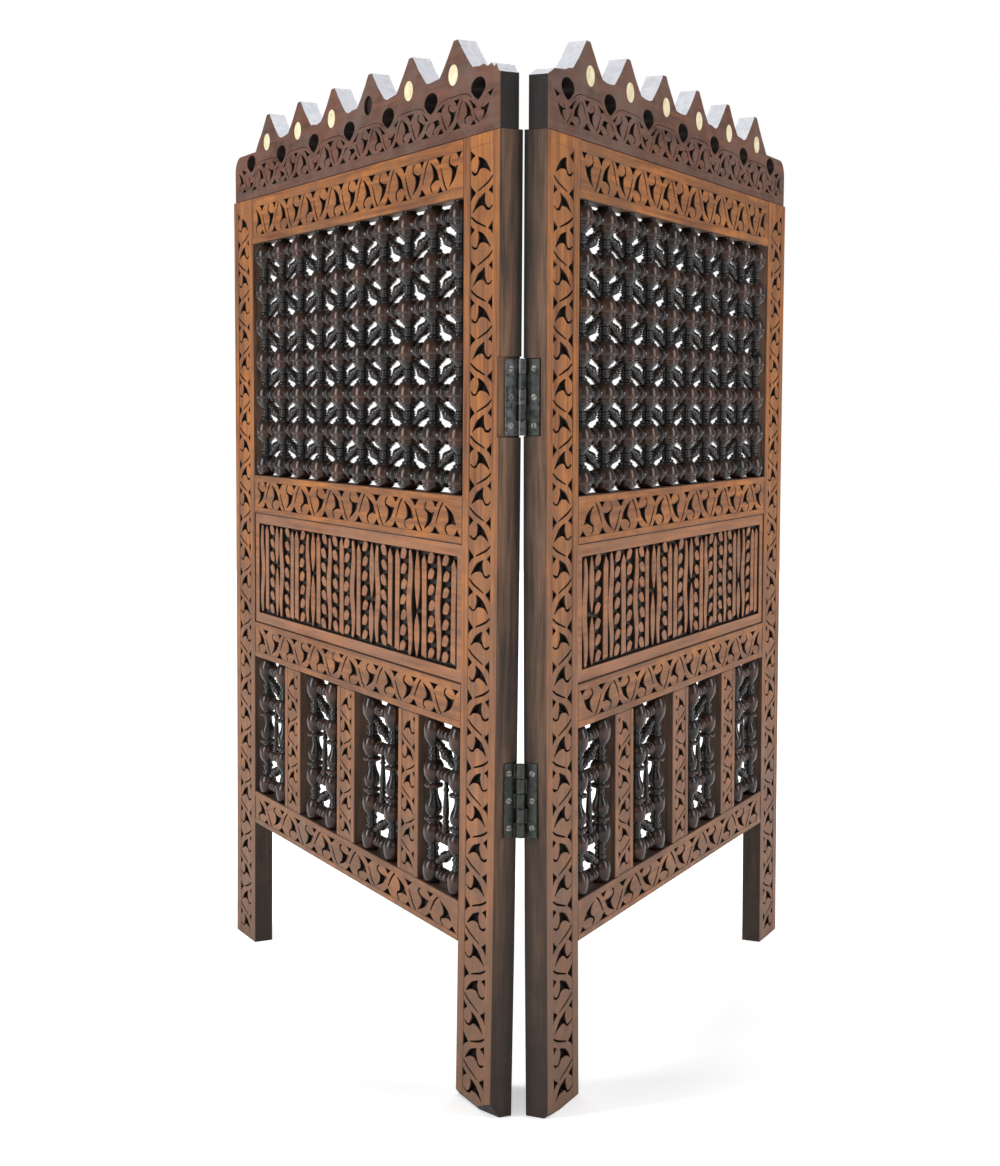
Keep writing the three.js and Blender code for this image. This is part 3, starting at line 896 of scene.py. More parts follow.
# %% upper lattice
COLUMNS = 10
COLUMN_PITCH = 64.4
ROWS = 7
BALL_HALF = 15.0
BALL_PROFILE = (
    (7.4, -15.0), (10.0, -13.2), (12.0, -10.2), (12.7, -8.7), (12.0, -8.2), (12.9, -7.6), (13.1, -6.3),
    (12.5, -5.8), (13.3, -5.1), (13.6, -1.0), (13.2, 3.5), (12.0, 8.0), (10.0, 11.2), (7.8, 13.0),
    (8.2, 14.3), (7.6, 15.3),
)
NECK_PROFILE = (
    (5.8, 16.0), (5.6, 18.2), (7.2, 19.0), (7.2, 20.0), (5.6, 20.7), (7.0, 21.6), (7.0, 22.6),
    (5.6, 23.4), (6.8, 24.3), (6.8, 25.2), (5.5, 26.0), (5.6, 28.0), (7.4, 29.0),
)
LINK_HALF = (
    (9.6, 0), (9.2, 2.0), (6.6, 3.2), (4.2, 4.6), (5.8, 6.4), (7.0, 9.0), (6.0, 11.8), (4.0, 13.4),
    (3.8, 15.2), (6.0, 16.4), (6.0, 18.4), (3.2, 20.0), (3.2, 24.0),
)
OBLIQUE_HALF = (
    (7.2, 0), (6.8, 2.8), (5.2, 5.4), (3.7, 6.6), (5.2, 7.4), (5.2, 8.8), (3.4, 9.8), (3.8, 12.2),
    (4.9, 15.2), (3.8, 17.8), (4.6, 19.0), (4.0, 20.4), (2.6, 21.6), (2.6, 28.0),
)
OBLIQUE_SLOPE = math.radians(27)
OBLIQUE_DEPTH = LATTICE_DEPTH + 1.5
SHADED_BROWN = 1
TURNED_FINISHES = [turned_black, oblique_shaded_brown]


def leaning(way):
    """The turn that lays an oblique piece across its cell, leaning to one way or the other."""
    return Matrix.Rotation(math.pi / 2 + way * OBLIQUE_SLOPE, 3, "Y")


def upper_lattice(side):
    low, high = UPPER_RAIL[1] + JOINT_GAP, TOP_RAIL[0] - JOINT_GAP
    pitch = (high - low - 2 * BALL_HALF) / (ROWS - 1)
    first_row = low + BALL_HALF
    first_column = (NEAR_STILE + FAR_STILE - (COLUMNS - 1) * COLUMN_PITCH) / 2
    profile = []
    for row in range(ROWS):
        centre = first_row + row * pitch
        profile += [(radius, centre + height) for radius, height in BALL_PROFILE]
        if row < ROWS - 1:
            profile += [(radius, centre + height) for radius, height in NECK_PROFILE]
    stick = turned(profile)
    link = turned(both_ways(LINK_HALF), LINK_SEGMENTS)
    oblique = turned(both_ways(OBLIQUE_HALF), OBLIQUE_SEGMENTS)
    bm = bmesh.new()
    bm.verts.layers.float.new("worn")
    for column in range(COLUMNS):
        u = first_column + column * COLUMN_PITCH
        put(bm, stick, (u, LATTICE_DEPTH, 0))
        middle = u + COLUMN_PITCH / 2
        for row in range(ROWS):
            if column == COLUMNS - 1:
                continue
            z = first_row + row * pitch
            put(bm, link, (middle, LATTICE_DEPTH, z), ALONG_LEAF)
            if row < ROWS - 1:
                tilt = leaning(1 if (row + column) % 2 == 0 else -1)
                put(bm, oblique, (middle, OBLIQUE_DEPTH, z + pitch / 2), tilt, SHADED_BROWN)
    name = "upper_lattice"
    add_piece(f"{name}_turned", bm, side, TURNED_FINISHES, [name], smooth=True)


# %% [markdown]
# ## The lower bays
# Each bay holds two balusters with a different turning: a ball at each end, two discs, and a
# vase between them. Links, a slim pin and small oblique pieces fill the space between the two.

# %% bay lattices
BALUSTER_PROFILE = (
    (6.5, 212.4), (9.2, 217.0), (10.2, 223.0), (10.3, 228.0), (9.3, 234.0), (6.8, 238.6), (5.4, 240.0),
    (6.4, 241.5), (5.2, 243.5), (5.0, 248.0), (6.0, 249.2), (6.0, 251.0), (5.0, 252.5), (5.2, 255.5),
    (7.4, 257.5), (9.6, 262.0), (10.2, 268.0), (9.8, 273.5), (8.0, 278.6), (5.6, 280.6), (9.0, 282.4),
    (9.4, 284.2), (8.8, 285.8), (5.2, 287.0), (7.6, 290.0), (8.6, 295.5), (7.6, 301.0), (5.4, 306.5),
    (4.3, 312.0), (4.4, 317.0), (8.9, 318.6), (9.4, 320.5), (8.9, 322.2), (5.6, 323.6), (7.6, 327.0),
    (9.8, 332.0), (10.2, 338.0), (9.4, 343.6), (7.0, 348.2), (5.4, 349.8), (6.4, 351.3), (5.2, 353.0),
    (5.0, 357.5), (6.0, 358.8), (6.0, 360.4), (5.0, 361.8), (5.2, 365.5), (7.4, 368.4), (9.8, 374.0),
    (10.4, 380.5), (10.0, 386.5), (8.2, 392.0), (6.6, 395.6),
)
BALUSTER_SWELL = 1.14
BALUSTER_SPREAD = 31.0
BAY_LINK_HALF = (
    (7.6, 0), (7.2, 1.6), (4.4, 2.8), (3.4, 4.2), (5.4, 5.6), (7.6, 8.0), (7.4, 10.4), (5.0, 12.4),
    (3.4, 13.6), (4.8, 15.4), (4.8, 17.0), (3.2, 18.4), (3.2, 24.0),
)
BAY_OBLIQUE_HALF = (
    (6.8, 0), (6.4, 2.4), (4.8, 4.6), (3.6, 5.6), (5.0, 6.4), (5.0, 8.0), (3.4, 9.0), (3.8, 11.4),
    (5.0, 14.4), (3.8, 17.4), (4.6, 18.8), (2.4, 20.4), (2.4, 28.0),
)
SLIM_PROFILE = (
    (3.0, 270.0), (4.6, 274.0), (4.8, 279.0), (3.2, 283.0), (4.2, 285.0), (4.2, 286.6), (3.0, 288.0),
    (3.9, 296.0), (3.4, 306.0), (2.5, 318.0), (3.6, 320.0), (3.6, 321.4), (2.5, 323.0), (2.6, 334.0),
)
BAY_LINK_LEVELS = (226.0, 268.0, 337.0, 381.0)
BAY_NECK_LEVELS = (247.0, 359.0)


def bay_lattice(side, number, u0, u1):
    baluster = turned([(radius * BALUSTER_SWELL, height) for radius, height in BALUSTER_PROFILE])
    link = turned(both_ways(BAY_LINK_HALF), LINK_SEGMENTS)
    oblique = turned(both_ways(BAY_OBLIQUE_HALF), OBLIQUE_SEGMENTS)
    slim = turned(SLIM_PROFILE, OBLIQUE_SEGMENTS)
    bm = bmesh.new()
    bm.verts.layers.float.new("worn")
    middle = (u0 + u1) / 2
    for place in (middle - BALUSTER_SPREAD, middle + BALUSTER_SPREAD):
        put(bm, baluster, (place, LATTICE_DEPTH, 0))
    for z in BAY_LINK_LEVELS:
        put(bm, link, (middle, LATTICE_DEPTH, z), ALONG_LEAF)
    for way, z in zip((1, -1), BAY_NECK_LEVELS):
        put(bm, oblique, (middle, LATTICE_DEPTH, z), leaning(way), SHADED_BROWN)
    put(bm, slim, (middle, LATTICE_DEPTH, 0))
    name = f"bay_lattice_{number}"
    add_piece(f"{name}_turned", bm, side, TURNED_FINISHES, [name], smooth=True)


for side in SIDES:
    upper_lattice(side)
    half = MUNTIN_WIDTH / 2
    starts = [NEAR_STILE] + [centre + half for centre in MUNTINS]
    ends = [centre - half for centre in MUNTINS] + [FAR_STILE]
    for number, (start, end) in enumerate(zip(starts, ends), 1):
        bay_lattice(side, number, start, end)

# %% [markdown]
# ## The cresting
# A board fretted into six merlons and pierced with seven drops. Its front is laid out like the
# rails: a leaf band along its foot, pinched under each drop, with an incised line over it. The
# sawn slopes are painted pale as lit from above, and the end by the hinge is splintered and painted dark as
# shade.

# %% cresting outline
CREST_THICKNESS = 21.0
CREST_FRONT = 4.0
VALLEY = 1067.0
FAR_SHOULDER = 1058.0
SHOULDER_RADIUS = 20.0
SHOULDER_INSET = 8.0
CREST_STEPS = 38
MERLON_PITCH = 109.3
MERLON_COUNT = 6
FIRST_MERLON = 99.5
HALF_FOOT = 38.0
HALF_TIP = 4.5
SLOPE_STEPS = 6
SLOPE_HOLLOW = 1.6
APEX_DROP = 0.4
END_GAP = 0.4
PIERCE_PITCH = 110.4
FIRST_PIERCE = 48.0
PIERCE_LEVEL = 1046.0
DROPS = [FIRST_PIERCE + number * PIERCE_PITCH for number in range(MERLON_COUNT + 1)]
# How far beyond a merlon's foot each point of the valley lies, and how deep it is worn.
VALLEY_DIPS = ((8, 1.6), (20, 1.0))
NEAR_ENDS = {
    "left": (
        (46, 1065.5), (36, 1066.5), (27, 1062.5), (20, 1065), (13, 1060), (9, 1062.5), (5, 1056),
        (0.4, 1054),
    ),
    "right": ((50, 1065), (42, 1062.5), (30, 1061), (16, 1059.5), (8, 1055.5), (0.4, 1052)),
}


def shoulder(far):
    """The rounded shoulder at the far end of the cresting."""
    points = []
    for step in range(SLOPE_STEPS + 1):
        angle = step / SLOPE_STEPS * math.pi / 2
        points.append((
            far - SHOULDER_RADIUS * (1 - math.cos(angle)),
            FAR_SHOULDER - SHOULDER_RADIUS * (1 - math.sin(angle)),
        ))
    return points


def merlon_side(centre, way, start, end, chance):
    """One sawn slope of a merlon, a little hollow and uneven. The way is 1 for its far side."""
    slope = (HALF_FOOT - HALF_TIP) / (CREST_APEX - VALLEY)
    points = []
    for step in range(SLOPE_STEPS + 1):
        z = start + (end - start) * step / SLOPE_STEPS
        share = kept_within((z - VALLEY) / (CREST_APEX - VALLEY), 0, 1)
        hollow = SLOPE_HOLLOW * math.sin(math.pi * share)
        reach = HALF_TIP + (CREST_APEX - z) * slope - hollow + chance.uniform(-0.25, 0.25)
        rise = min(z + chance.uniform(-0.4, 0.2), CREST_APEX - APEX_DROP)
        points.append((centre + way * reach, rise))
    return points


def crest_outline(side, chance):
    """The cresting's outline: along its foot, over the far shoulder, and back over the merlons."""
    far = LEAF_WIDTH - SHOULDER_INSET
    run = far - END_GAP
    points = [(END_GAP + run * step / CREST_STEPS, CREST_FOOT) for step in range(CREST_STEPS + 1)]
    points += shoulder(far)
    for number in reversed(range(MERLON_COUNT)):
        centre = FIRST_MERLON + number * MERLON_PITCH
        foot = FAR_SHOULDER if number == MERLON_COUNT - 1 else VALLEY
        points += merlon_side(centre, 1, foot, CREST_APEX, chance)
        points += merlon_side(centre, -1, CREST_APEX, VALLEY, chance)
        if number:
            for reach, dip in VALLEY_DIPS:
                rise = VALLEY - dip + chance.uniform(-1, 1)
                points.append((centre - HALF_FOOT - reach, rise))
    return points + list(NEAR_ENDS[side])


# %% pierced drops
DROP_STEPS = 14
DROP_HALF_WIDTH = 16.5
DROP_RISE = 10.0
DROP_FALL = 13.0
DROP_WAIST = (8.0, 9.5)


def drop_outline(centre):
    """A pierced drop: a round head drawn down to a point."""
    points = []
    for step in range(DROP_STEPS + 1):
        angle = (-0.12 + 1.24 * step / DROP_STEPS) * math.pi
        reach, rise = DROP_HALF_WIDTH * math.cos(angle), DROP_RISE * math.sin(angle)
        points.append((centre + reach, PIERCE_LEVEL + rise))
    reach, fall = DROP_WAIST
    points.append((centre - reach, PIERCE_LEVEL - fall))
    points.append((centre, PIERCE_LEVEL - DROP_FALL))
    points.append((centre + reach, PIERCE_LEVEL - fall))
    return points


# %% leaf band of the cresting
BAND_FOOT = 1010.0
BAND_HEAD = 1041.0
BAND_PINCH = 14.0
PINCH_REACH = 17.0
BAND_START = 12.0
BAND_END = 6.0
CREST_UNITS = 20
LINE_GAP = 14.0
LINE_LIFT = 3.2
LINE_WIDTH = 1.1
LINE_STEPS = 16


def band_top(u):
    """The top of the leaf band: it dips under each drop."""
    nearest = min(abs(u - drop) for drop in DROPS)
    return BAND_HEAD - BAND_PINCH * math.exp(-((nearest / PINCH_REACH) ** 2))


def ribbon(points, widths):
    """The outline of a line that has its own width at each of its points."""
    left, right = [], []
    last = len(points) - 1
    for index, ((u, z), width) in enumerate(zip(points, widths)):
        back, ahead = points[max(index - 1, 0)], points[min(index + 1, last)]
        direction = Vector((ahead[0] - back[0], ahead[1] - back[1])).normalized()
        normal = Vector((-direction.y, direction.x)) * width / 2
        left.append((u + normal.x, z + normal.y))
        right.append((u - normal.x, z - normal.y))
    return left + right[::-1]


def crest_openings(chance):
    """The pockets of the leaf band, and the incised line over it between the drops."""
    start, end = BAND_START, LEAF_WIDTH - SHOULDER_INSET - BAND_END
    unit = (end - start) / CREST_UNITS

    def place(across, along):
        u = start + along * unit
        share = 0.06 + 0.88 * across
        return u, BAND_FOOT + share * (band_top(u) - BAND_FOOT)

    openings = []
    for outline in vine(place, CREST_UNITS, True, chance):
        us = [point[0] for point in outline]
        if min(us) > start and max(us) < end:
            openings.append(outline)
    for near, far in zip(DROPS, DROPS[1:]):
        length = far - near - 2 * LINE_GAP
        run = [near + LINE_GAP + length * step / LINE_STEPS for step in range(LINE_STEPS + 1)]
        line = [(u, band_top(u) + LINE_LIFT) for u in run]
        openings.append(ribbon(line, [LINE_WIDTH] * len(line)))
    return openings


# %% build the cresting
CREST_SEEDS = {"left": 5, "right": 8}
CREST_ARRIS = 0.35
REAR_ARRIS = 0.1
REAR_OVERLAP = 0.2
SOCKET_PLAY = 0.35
DROP_WALL_REACH = 18.5


def in_a_drop(place):
    """Whether a face is the wall of a pierced drop."""
    near = [math.hypot(place.x - drop, place.z - PIERCE_LEVEL + 1) for drop in DROPS]
    return min(near) < DROP_WALL_REACH and place.z < VALLEY - 9


def in_a_socket(place):
    """Whether a face is the wall of an inlay's socket."""
    near = [
        math.hypot(place.x - inlay_centre(number), place.z - INLAY_LEVEL)
        for number in range(MERLON_COUNT)
    ]
    return min(near) < INLAY_HALF_WIDTH + 1.2


def crest_finish(face):
    """Which finish a face of the cresting takes. Only the outer sawn edges take the pale painted light; the
    walls of openings, the foot and the end by the hinge take the painted shade.
    """
    place = face.calc_center_median()
    # Front faces set back behind the sheet are the floor of the openings, in the pocket's painted shade.
    if face.normal.y < SLANTED_FRONT:
        return POCKET if place.y > 2 else FACE
    if face.normal.y > 0.5:
        return EDGE
    near_end = place.x < 2.0 or place.z < CREST_FOOT + 1
    in_the_band = place.z < band_top(place.x) + 6
    # The walls of the band, the drops and the sockets, the cresting's foot and its end by the hinge take the
    # pocket's painted shade.
    dark = near_end or in_the_band or in_a_drop(place) or in_a_socket(place)
    return POCKET if dark else ARRIS


def build_cresting(side, chance):
    outline = crest_outline(side, chance)
    drops = [drop_outline(drop) for drop in DROPS]
    sockets = [inlay_outline(number, SOCKET_PLAY) for number in range(MERLON_COUNT)]
    openings = drops + sockets + crest_openings(chance)
    front = fret([outline] + openings, CREST_FRONT, CREST_ARRIS, 0.0)
    rear_depth = CREST_THICKNESS - CREST_FRONT
    rear = fret([outline] + drops, rear_depth, REAR_ARRIS, CREST_FRONT - REAR_OVERLAP)
    bm = joined([front, rear])
    for face in bm.faces:
        face.material_index = crest_finish(face)
    materials = [crest_front[side], pocket_shade_wood, edge_along[side], lit_slope_wood]
    add_piece("cresting_fretted", bm, side, materials, ["cresting"])


# %% inlays
INLAY_LEVEL = 1066.0
INLAY_OFFSET = 6.0
INLAY_HALF_WIDTH = 11.2
INLAY_HALF_HEIGHT = 10.6
INLAY_STEPS = 18
INLAY_PLAY = -0.1
INLAY_THICKNESS = 2.6
INLAY_ARRIS = 0.5
INLAY_SINK = 0.25


def inlay_centre(number):
    return FIRST_MERLON + number * MERLON_PITCH + INLAY_OFFSET


def inlay_outline(number, play):
    """The outline of an inlay with some play: more for its socket, less for the disc."""
    centre = inlay_centre(number)
    points = []
    for step in range(INLAY_STEPS):
        angle = 2 * math.pi * step / INLAY_STEPS
        points.append((
            centre + (INLAY_HALF_WIDTH + play) * math.cos(angle),
            INLAY_LEVEL + (INLAY_HALF_HEIGHT + play) * math.sin(angle),
        ))
    return points


def pearl():
    """Pale shell, with a slow play of cream and green-white."""
    material, tree, shader, place = new_finish("pearl_inlay")
    cloud = ramp(tree, noise_at(tree, place, scale=120, detail=4, roughness=0.6), 0.35, 0.7)
    color = blended(tree, cloud, (0.50, 0.42, 0.24, 1), (0.66, 0.60, 0.42, 1))
    dirt = ramp(tree, noise_at(tree, place, scale=260, detail=3, roughness=0.7), 0.6, 0.8)
    color = blended(tree, math_of(tree, "MULTIPLY", dirt, 0.35), color, (0.45, 0.33, 0.16, 1))
    tree.links.new(color, shader.inputs["Base Color"])
    rough = ramp(tree, cloud, -0.8, 2.2)
    tree.links.new(rough, shader.inputs["Roughness"])
    return material


pearl_inlay = pearl()


def build_inlays(side):
    for number in range(MERLON_COUNT):
        name = f"inlay_{number + 1}"
        if f"{side}_{name}" not in frame["nodes"]:
            print(f"{side}_{name} is lost, and its socket stays empty")
            continue
        outline = inlay_outline(number, INLAY_PLAY)
        disc = fret([outline], INLAY_THICKNESS, INLAY_ARRIS, INLAY_SINK)
        add_piece(f"{name}_shell", disc, side, [pearl_inlay], [name])


for side in SIDES:
    build_cresting(side, random.Random(CREST_SEEDS[side]))
    build_inlays(side)

# %% [markdown]
# ## The inscription panel
# A sunk field inside a plain border, filled with columns of raised strokes: tall uprights,
# wavy flames, pairs of leaves and stacks of slanted ones. They keep the rhythm of a carved field,
# no column touches the next, and none of them is a letter.

# %% strokes
PANEL_FRONT = 1.5
PANEL_BACK = 18.0
PANEL_BORDER = 13.0
STROKE_SWELL = 1.14
DASH_STEPS = 6
DASH_ARCH = 1.5
DASH_TIP = 0.8
WAVE_STEPS = 12
WAVE_TIP = 1.4
PANEL_LOW, PANEL_HIGH = level("right_inscription_panel")


def stroke(points, widths):
    """The outline of a brush-like stroke that swells and narrows along its line."""
    return softened(ribbon(points, [width * STROKE_SWELL for width in widths]))


def leaf_dash(u, z, length, height, tilt):
    """A leaf-shaped dash, pointed at both ends."""
    points, widths = [], []
    for step in range(DASH_STEPS + 1):
        t = step / DASH_STEPS
        along = (t - 0.5) * length
        rise = along * math.sin(tilt) + DASH_ARCH * math.sin(math.pi * t)
        points.append((u + along * math.cos(tilt), z + rise))
        widths.append(max(DASH_TIP, height * math.sin(math.pi * t) ** 0.7))
    return stroke(points, widths)


def upright(u, low, high, width, lean):
    """A tall upright with a slanted head."""
    head = width * 0.55
    middle = (low + high) / 2
    left, right = u - width / 2, u + width / 2
    return [
        (left, low), (right, low + 2), (right - 0.6, middle), (right + lean, high - head),
        (u + lean * 0.5, high), (left + lean, high - head * 1.6), (left + 0.6, middle),
    ]


def wave(u, low, high, sway, width):
    """A tall wavy stroke, like a flame."""
    points, widths = [], []
    for step in range(WAVE_STEPS + 1):
        t = step / WAVE_STEPS
        points.append((u + sway * math.sin(3 * math.pi * t), low + (high - low) * t))
        widths.append(max(WAVE_TIP, width * math.sin(math.pi * (0.06 + 0.88 * t)) ** 0.5))
    return stroke(points, widths)


# %% layout of the strokes
STROKE_PITCH = 18.0
STACK_STEPS = 7
STROKE_WIDTH = 11.0
DOUBLE_WIDTH = 11.5
DASH_LENGTH = 17.0
STACK_MARGIN = 7.0
STROKE_ORDER = (
    "tall", "stack", "wave", "stack", "tall", "double", "wave", "stack", "tall", "tall", "stack",
    "wave", "double", "stack", "tall", "wave", "stack",
)


def stroke_group(kind, u, low, high, chance):
    """The strokes of one column of the field, by its kind. No column touches the next."""
    height = high - low
    if kind == "tall":
        foot, head = low + chance.uniform(0, 5), high - chance.uniform(0, 5)
        return [upright(u, foot, head, chance.uniform(11, 13), chance.uniform(-1.5, 1.5))]
    if kind == "wave":
        foot, head = low + chance.uniform(0, 4), high - chance.uniform(0, 4)
        return [wave(u, foot, head, chance.choice((-2.4, 2.4)), STROKE_WIDTH)]
    if kind == "double":
        split = low + height * chance.uniform(0.42, 0.58)
        plumb = math.radians(90)
        return [
            leaf_dash(u, (low + split) / 2 - 1, split - low - 3, DOUBLE_WIDTH, plumb),
            leaf_dash(u, (high + split) / 2 + 1, high - split - 3, DOUBLE_WIDTH, plumb),
        ]
    slant = chance.choice((-0.5, 0.5))
    rise = (height - 2 * STACK_MARGIN) / (STACK_STEPS - 1)
    return [
        leaf_dash(u, low + STACK_MARGIN + step * rise, DASH_LENGTH, chance.uniform(9, 11), slant)
        for step in range(STACK_STEPS)
    ]


def panel_strokes(chance):
    low, high = PANEL_LOW + PANEL_BORDER + 1.5, PANEL_HIGH - PANEL_BORDER - 1
    start, end = NEAR_STILE + PANEL_BORDER + 2, FAR_STILE - PANEL_BORDER - 2
    count = round((end - start) / STROKE_PITCH)
    first = chance.randrange(len(STROKE_ORDER))
    strokes = []
    for column in range(count):
        kind = STROKE_ORDER[(first + column) % len(STROKE_ORDER)]
        u = start + (column + 0.5) * (end - start) / count
        strokes += stroke_group(kind, u, low, high, chance)
    return [
        [(kept_within(u, start, end), kept_within(z, low, high)) for u, z in outline]
        for outline in strokes
    ]


# %% build the panel
STROKE_FOOT = 0.5
STROKE_ARRIS = 0.7
PANEL_SEEDS = {"left": 31, "right": 47}


def build_panel(side, chance):
    """The panel's board with its strokes. Each stroke's foot is let into the sunk field."""
    u0, u1 = NEAR_STILE + JOINT_GAP, FAR_STILE - JOINT_GAP
    window = (
        u0 + PANEL_BORDER, u1 - PANEL_BORDER, PANEL_LOW + PANEL_BORDER, PANEL_HIGH - PANEL_BORDER,
    )
    parts = [board(u0, u1, PANEL_LOW, PANEL_HIGH, PANEL_BACK, window, front=PANEL_FRONT)]
    foot = PANEL_FRONT + FLOOR_DEPTH + STROKE_FOOT
    for outline in panel_strokes(chance):
        front = PANEL_FRONT + chance.uniform(0.1, 1.6)
        parts.append(paint_fret(fret([outline], foot - front, STROKE_ARRIS, front)))
    finishes = board_materials(panel_front[side], edge_along[side])
    name = "inscription_panel"
    add_piece(f"{name}_carved", joined(parts), side, finishes, [name])


for side in SIDES:
    build_panel(side, random.Random(PANEL_SEEDS[side]))

# %% [markdown]
# ## Butt hinges
# Each hinge has five knuckles on a loose pin. The plates are let into the edges of the stiles, so
# their places are measured from the pin and not from the bowed wood. The lower plates stand
# further out, and tongues carry them back to their knuckles. The left leaf keeps the pin.

# %% iron and steel
RUST = (0.09, 0.035, 0.015, 1)


def metal(name, dark, light, rust_amount, rough_low, rough_high):
    """Old iron or steel, mottled between two greys and spotted with rust."""
    material, tree, shader, place = new_finish(name)
    tone = ramp(tree, noise_at(tree, place, scale=160, detail=5, roughness=0.65), 0.35, 0.65)
    color = blended(tree, tone, (*dark, 1), (*light, 1))
    spots = ramp(tree, noise_at(tree, place, scale=420, detail=4, roughness=0.7), 0.56, 0.68)
    color = blended(tree, math_of(tree, "MULTIPLY", spots, rust_amount), color, RUST)
    tree.links.new(color, shader.inputs["Base Color"])
    tree.links.new(between(tree, tone, rough_low, rough_high), shader.inputs["Roughness"])
    add_relief(tree, noise_at(tree, place, scale=700, detail=4, roughness=0.7), 0.4, 0.0003)
    shader.inputs["Metallic"].default_value = 0.8
    return material


dark_iron = metal("hinge_iron", (0.014, 0.018, 0.016), (0.050, 0.058, 0.052), 0.5, 0.3, 0.55)
worn_iron = metal("worn_hinge_iron", (0.030, 0.032, 0.033), (0.10, 0.105, 0.11), 0.4, 0.25, 0.5)
screw_steel = metal("screw_steel", (0.09, 0.085, 0.078), (0.26, 0.25, 0.23), 0.5, 0.25, 0.5)

# %% hinge parts
HINGE_LENGTH = 76.0
KNUCKLES = 5
KNUCKLE_RADIUS = 4.6
KNUCKLE_GAP = 0.15
PIN_RADIUS = 2.2
PLATE_THICKNESS = 2.2
PLATE_FRONT = {"upper": -17.6, "lower": -15.6}
PLATE_BACK = -5.3
TONGUE_BACK = -1.4
SCREW_RISE = 28.0
SCREW_RADIUS = 3.3
SCREW_SETBACK = 5.0


def barrel(radius, z0, z1, arris):
    """A short round bar on the pin's axis."""
    flat = radius - arris
    profile = [(0, z0), (flat, z0), (radius, z0 + arris), (radius, z1 - arris), (flat, z1), (0, z1)]
    mesh = turned(profile, BARREL_SEGMENTS)
    bm = bmesh.new()
    bm.from_mesh(mesh)
    bpy.data.meshes.remove(mesh)
    return bm


def plate_offset(centre):
    """How far a plate's outer face stands from the pin: against the wood, clear of the barrel."""
    wood_face = HINGE_CLEARANCE + spread(centre) - PLATE_THICKNESS
    return max(KNUCKLE_RADIUS - PLATE_THICKNESS, wood_face)


def hinge_half(side, name, centre):
    """A plate with its own knuckles. The left one has the first, third and fifth, and the pin."""
    low = centre - HINGE_LENGTH / 2
    x0 = plate_offset(centre)
    x1 = x0 + PLATE_THICKNESS
    parts = [block(x0, x1, PLATE_FRONT[name], PLATE_BACK, low, low + HINGE_LENGTH, 0.5)]
    length = HINGE_LENGTH / KNUCKLES
    for knuckle in range(0 if side == "left" else 1, KNUCKLES, 2):
        z0 = low + knuckle * length + KNUCKLE_GAP
        z1 = low + (knuckle + 1) * length - KNUCKLE_GAP
        parts.append(barrel(KNUCKLE_RADIUS, z0, z1, 0.4))
        parts.append(block(min(x0, 1.6), x1, PLATE_BACK - 0.8, TONGUE_BACK, z0, z1, 0.3))
    if side == "left":
        parts.append(barrel(PIN_RADIUS, low + 0.2, low + HINGE_LENGTH - 0.2, 0.5))
    return parts


# %% screws
SLOT_HALF_WIDTH = 0.45
SLOT_DEPTH = 0.9
HEAD_RISE = 0.55
HEAD_INSET = 0.3
HALF_STEPS = 9
DISC_STEPS = 20
SCREW_SEEDS = {"left": 71, "right": 83}


def half_disc(way):
    """One side of a slotted screw head, as an outline about the head's centre."""
    radius = SCREW_RADIUS - HEAD_INSET
    start = math.asin(SLOT_HALF_WIDTH / radius)
    points = []
    for step in range(HALF_STEPS + 1):
        angle = start + (math.pi - 2 * start) * step / HALF_STEPS
        points.append((radius * math.cos(angle), way * radius * math.sin(angle)))
    return points


def screw_head(slot_angle):
    """A countersunk head: two halves beside the slot, over the disc that is the slot's floor."""
    turns = [2 * math.pi * step / DISC_STEPS for step in range(DISC_STEPS)]
    circle = [(SCREW_RADIUS * math.cos(a), SCREW_RADIUS * math.sin(a)) for a in turns]
    halves = fret([half_disc(1), half_disc(-1)], SLOT_DEPTH, 0.25, -HEAD_RISE)
    head = joined([halves, fret([circle], 1.2, 0.2, 0.0)])
    for angle, axis in ((slot_angle, "Y"), (-math.pi / 2, "Z")):
        turn = Matrix.Rotation(angle, 3, axis)
        bmesh.ops.rotate(head, verts=head.verts, cent=(0, 0, 0), matrix=turn)
    return head


def build_hinges(side, chance):
    for name, (low, high) in HINGE_LEVELS.items():
        centre = (low + high) / 2
        iron = worn_iron if (side, name) == ("left", "upper") else dark_iron
        leaf = joined(hinge_half(side, name, centre))
        for vert in leaf.verts:
            vert.co = hinge_point(*vert.co)
        plate = f"{name}_hinge"
        add_piece(f"{plate}_plate", leaf, side, [iron], [plate], seated=False)
        across = (PLATE_FRONT[name] - HINGE_CLEARANCE - SCREW_SETBACK) / 2
        for number, rise in enumerate((-SCREW_RISE, 0, SCREW_RISE), 1):
            head = screw_head(chance.uniform(0, math.pi))
            for vert in head.verts:
                x, y, z = vert.co
                vert.co = hinge_point(plate_offset(centre) + x, across + y, centre + rise + z)
            screw = f"{name}_screw_{number}"
            add_piece(f"{screw}_head", head, side, [screw_steel], [screw], seated=False)


for side in SIDES:
    build_hinges(side, random.Random(SCREW_SEEDS[side]))

# %% [markdown]
# ## Camera, light and stage
# The camera stands in front of the hinged edges, a little above the middle of the screen and
# looking slightly down. Two large soft lights stand to the left and right and give the turned
# wood its long highlights; the studio around them is white but weak, and the floor glows as painted light,
# dimmer close to the screen so that it paints a soft shade round the feet.

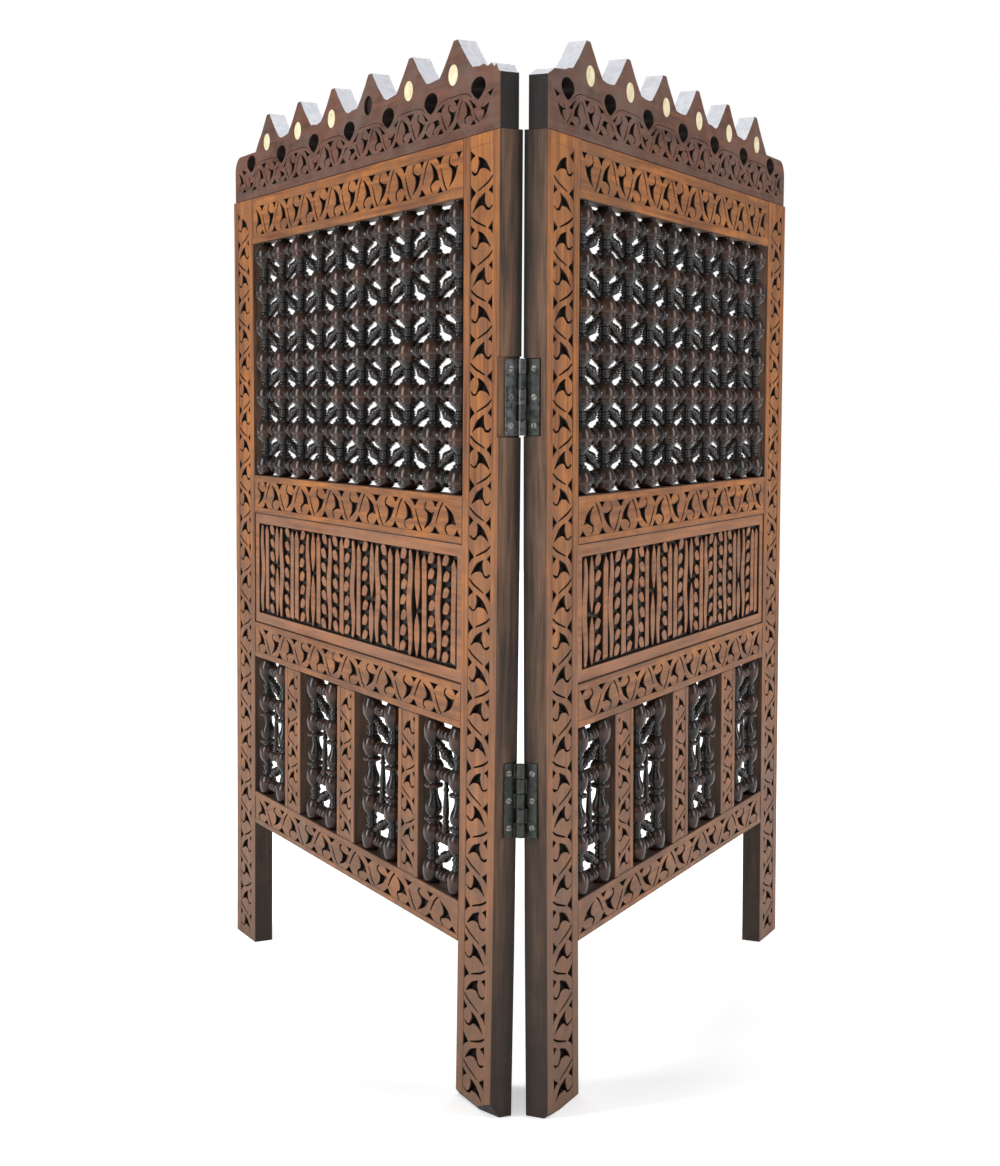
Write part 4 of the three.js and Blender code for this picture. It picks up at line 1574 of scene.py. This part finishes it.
# %% camera
CAMERA_PLACE = Vector((-0.0475, -2.189, 0.7316))
CAMERA_TILT = math.radians(5.48)
CAMERA_YAW = math.radians(-0.81)
CAMERA_ROLL = math.radians(0.222)
lens = bpy.data.cameras.new("view")
lens.lens = 57.1
lens.sensor_width = 36
camera = bpy.data.objects.new("view", lens)
turn = Matrix.Rotation(CAMERA_YAW, 4, "Z") @ Matrix.Rotation(math.pi / 2 - CAMERA_TILT, 4, "X")
camera.matrix_world = Matrix.Translation(CAMERA_PLACE) @ turn @ Matrix.Rotation(CAMERA_ROLL, 4, "Z")
bpy.context.scene.collection.objects.link(camera)
bpy.context.scene.camera = camera


# %% lights
def soft_light(name, place, target, size, power):
    light = bpy.data.lights.new(name, "AREA")
    light.shape = "RECTANGLE"
    light.size, light.size_y = size
    light.energy = power
    lamp = bpy.data.objects.new(name, light)
    lamp.location = place
    lamp.rotation_euler = (Vector(target) - Vector(place)).to_track_quat("-Z", "Y").to_euler()
    bpy.context.scene.collection.objects.link(lamp)


soft_light("left soft light", (-3.0, -1.2, 1.3), (0, 0, 0.6), (0.9, 2.0), 84)
soft_light("right soft light", (3.0, -1.0, 1.3), (0, 0, 0.6), (0.9, 2.0), 54)
soft_light("top soft light", (0, 0.6, 3.0), (0, 0, 0.5), (2.5, 2.5), 40)
soft_light("front fill", (0.0, -4.0, 1.6), (0, 0, 0.5), (2.0, 1.5), 18)

# %% world and floor
studio = bpy.data.worlds.new("studio")
bpy.context.scene.world = studio
studio.use_nodes = True
tree = studio.node_tree
seen = tree.nodes.new("ShaderNodeBackground")
seen.inputs["Color"].default_value = (1, 1, 1, 1)
lighting = tree.nodes["Background"]
lighting.inputs["Color"].default_value = (0.95, 0.97, 1.0, 1)
lighting.inputs["Strength"].default_value = 0.36
choice = tree.nodes.new("ShaderNodeMixShader")
tree.links.new(tree.nodes.new("ShaderNodeLightPath").outputs["Is Camera Ray"], choice.inputs["Fac"])
tree.links.new(lighting.outputs[0], choice.inputs[1])
tree.links.new(seen.outputs[0], choice.inputs[2])
tree.links.new(choice.outputs[0], tree.nodes["World Output"].inputs["Surface"])

FLOOR_HALF = 6.0
GLOW_REACH = 0.9
GLOW_LEAST = 0.3
floor_mesh = bpy.data.meshes.new("floor")
floor_shape = bmesh.new()
bmesh.ops.create_grid(floor_shape, x_segments=1, y_segments=1, size=FLOOR_HALF)
floor_shape.to_mesh(floor_mesh)
floor_shape.free()
floor = bpy.data.objects.new("floor", floor_mesh)
bpy.context.scene.collection.objects.link(floor)
floor_paint, floor_tree, floor_shader, floor_place = new_finish("glowing_floor")
floor_shader.inputs["Base Color"].default_value = (0.9, 0.9, 0.9, 1)
floor_shader.inputs["Roughness"].default_value = 0.8
# Painted light: the floor glows, weakest under the screen and full beyond GLOW_REACH, which paints a soft
# shade round its feet.
floor_shader.inputs["Emission Color"].default_value = (1, 1, 1, 1)
distance = floor_tree.nodes.new("ShaderNodeVectorMath")
distance.operation = "LENGTH"
floor_tree.links.new(floor_place, distance.inputs[0])
glow = ramp(floor_tree, distance.outputs["Value"], 0.0, GLOW_REACH)
glow = math_of(floor_tree, "MAXIMUM", glow, GLOW_LEAST)
floor_tree.links.new(glow, floor_shader.inputs["Emission Strength"])
floor_mesh.materials.append(floor_paint)
bpy.context.scene.view_settings.view_transform = "Standard"
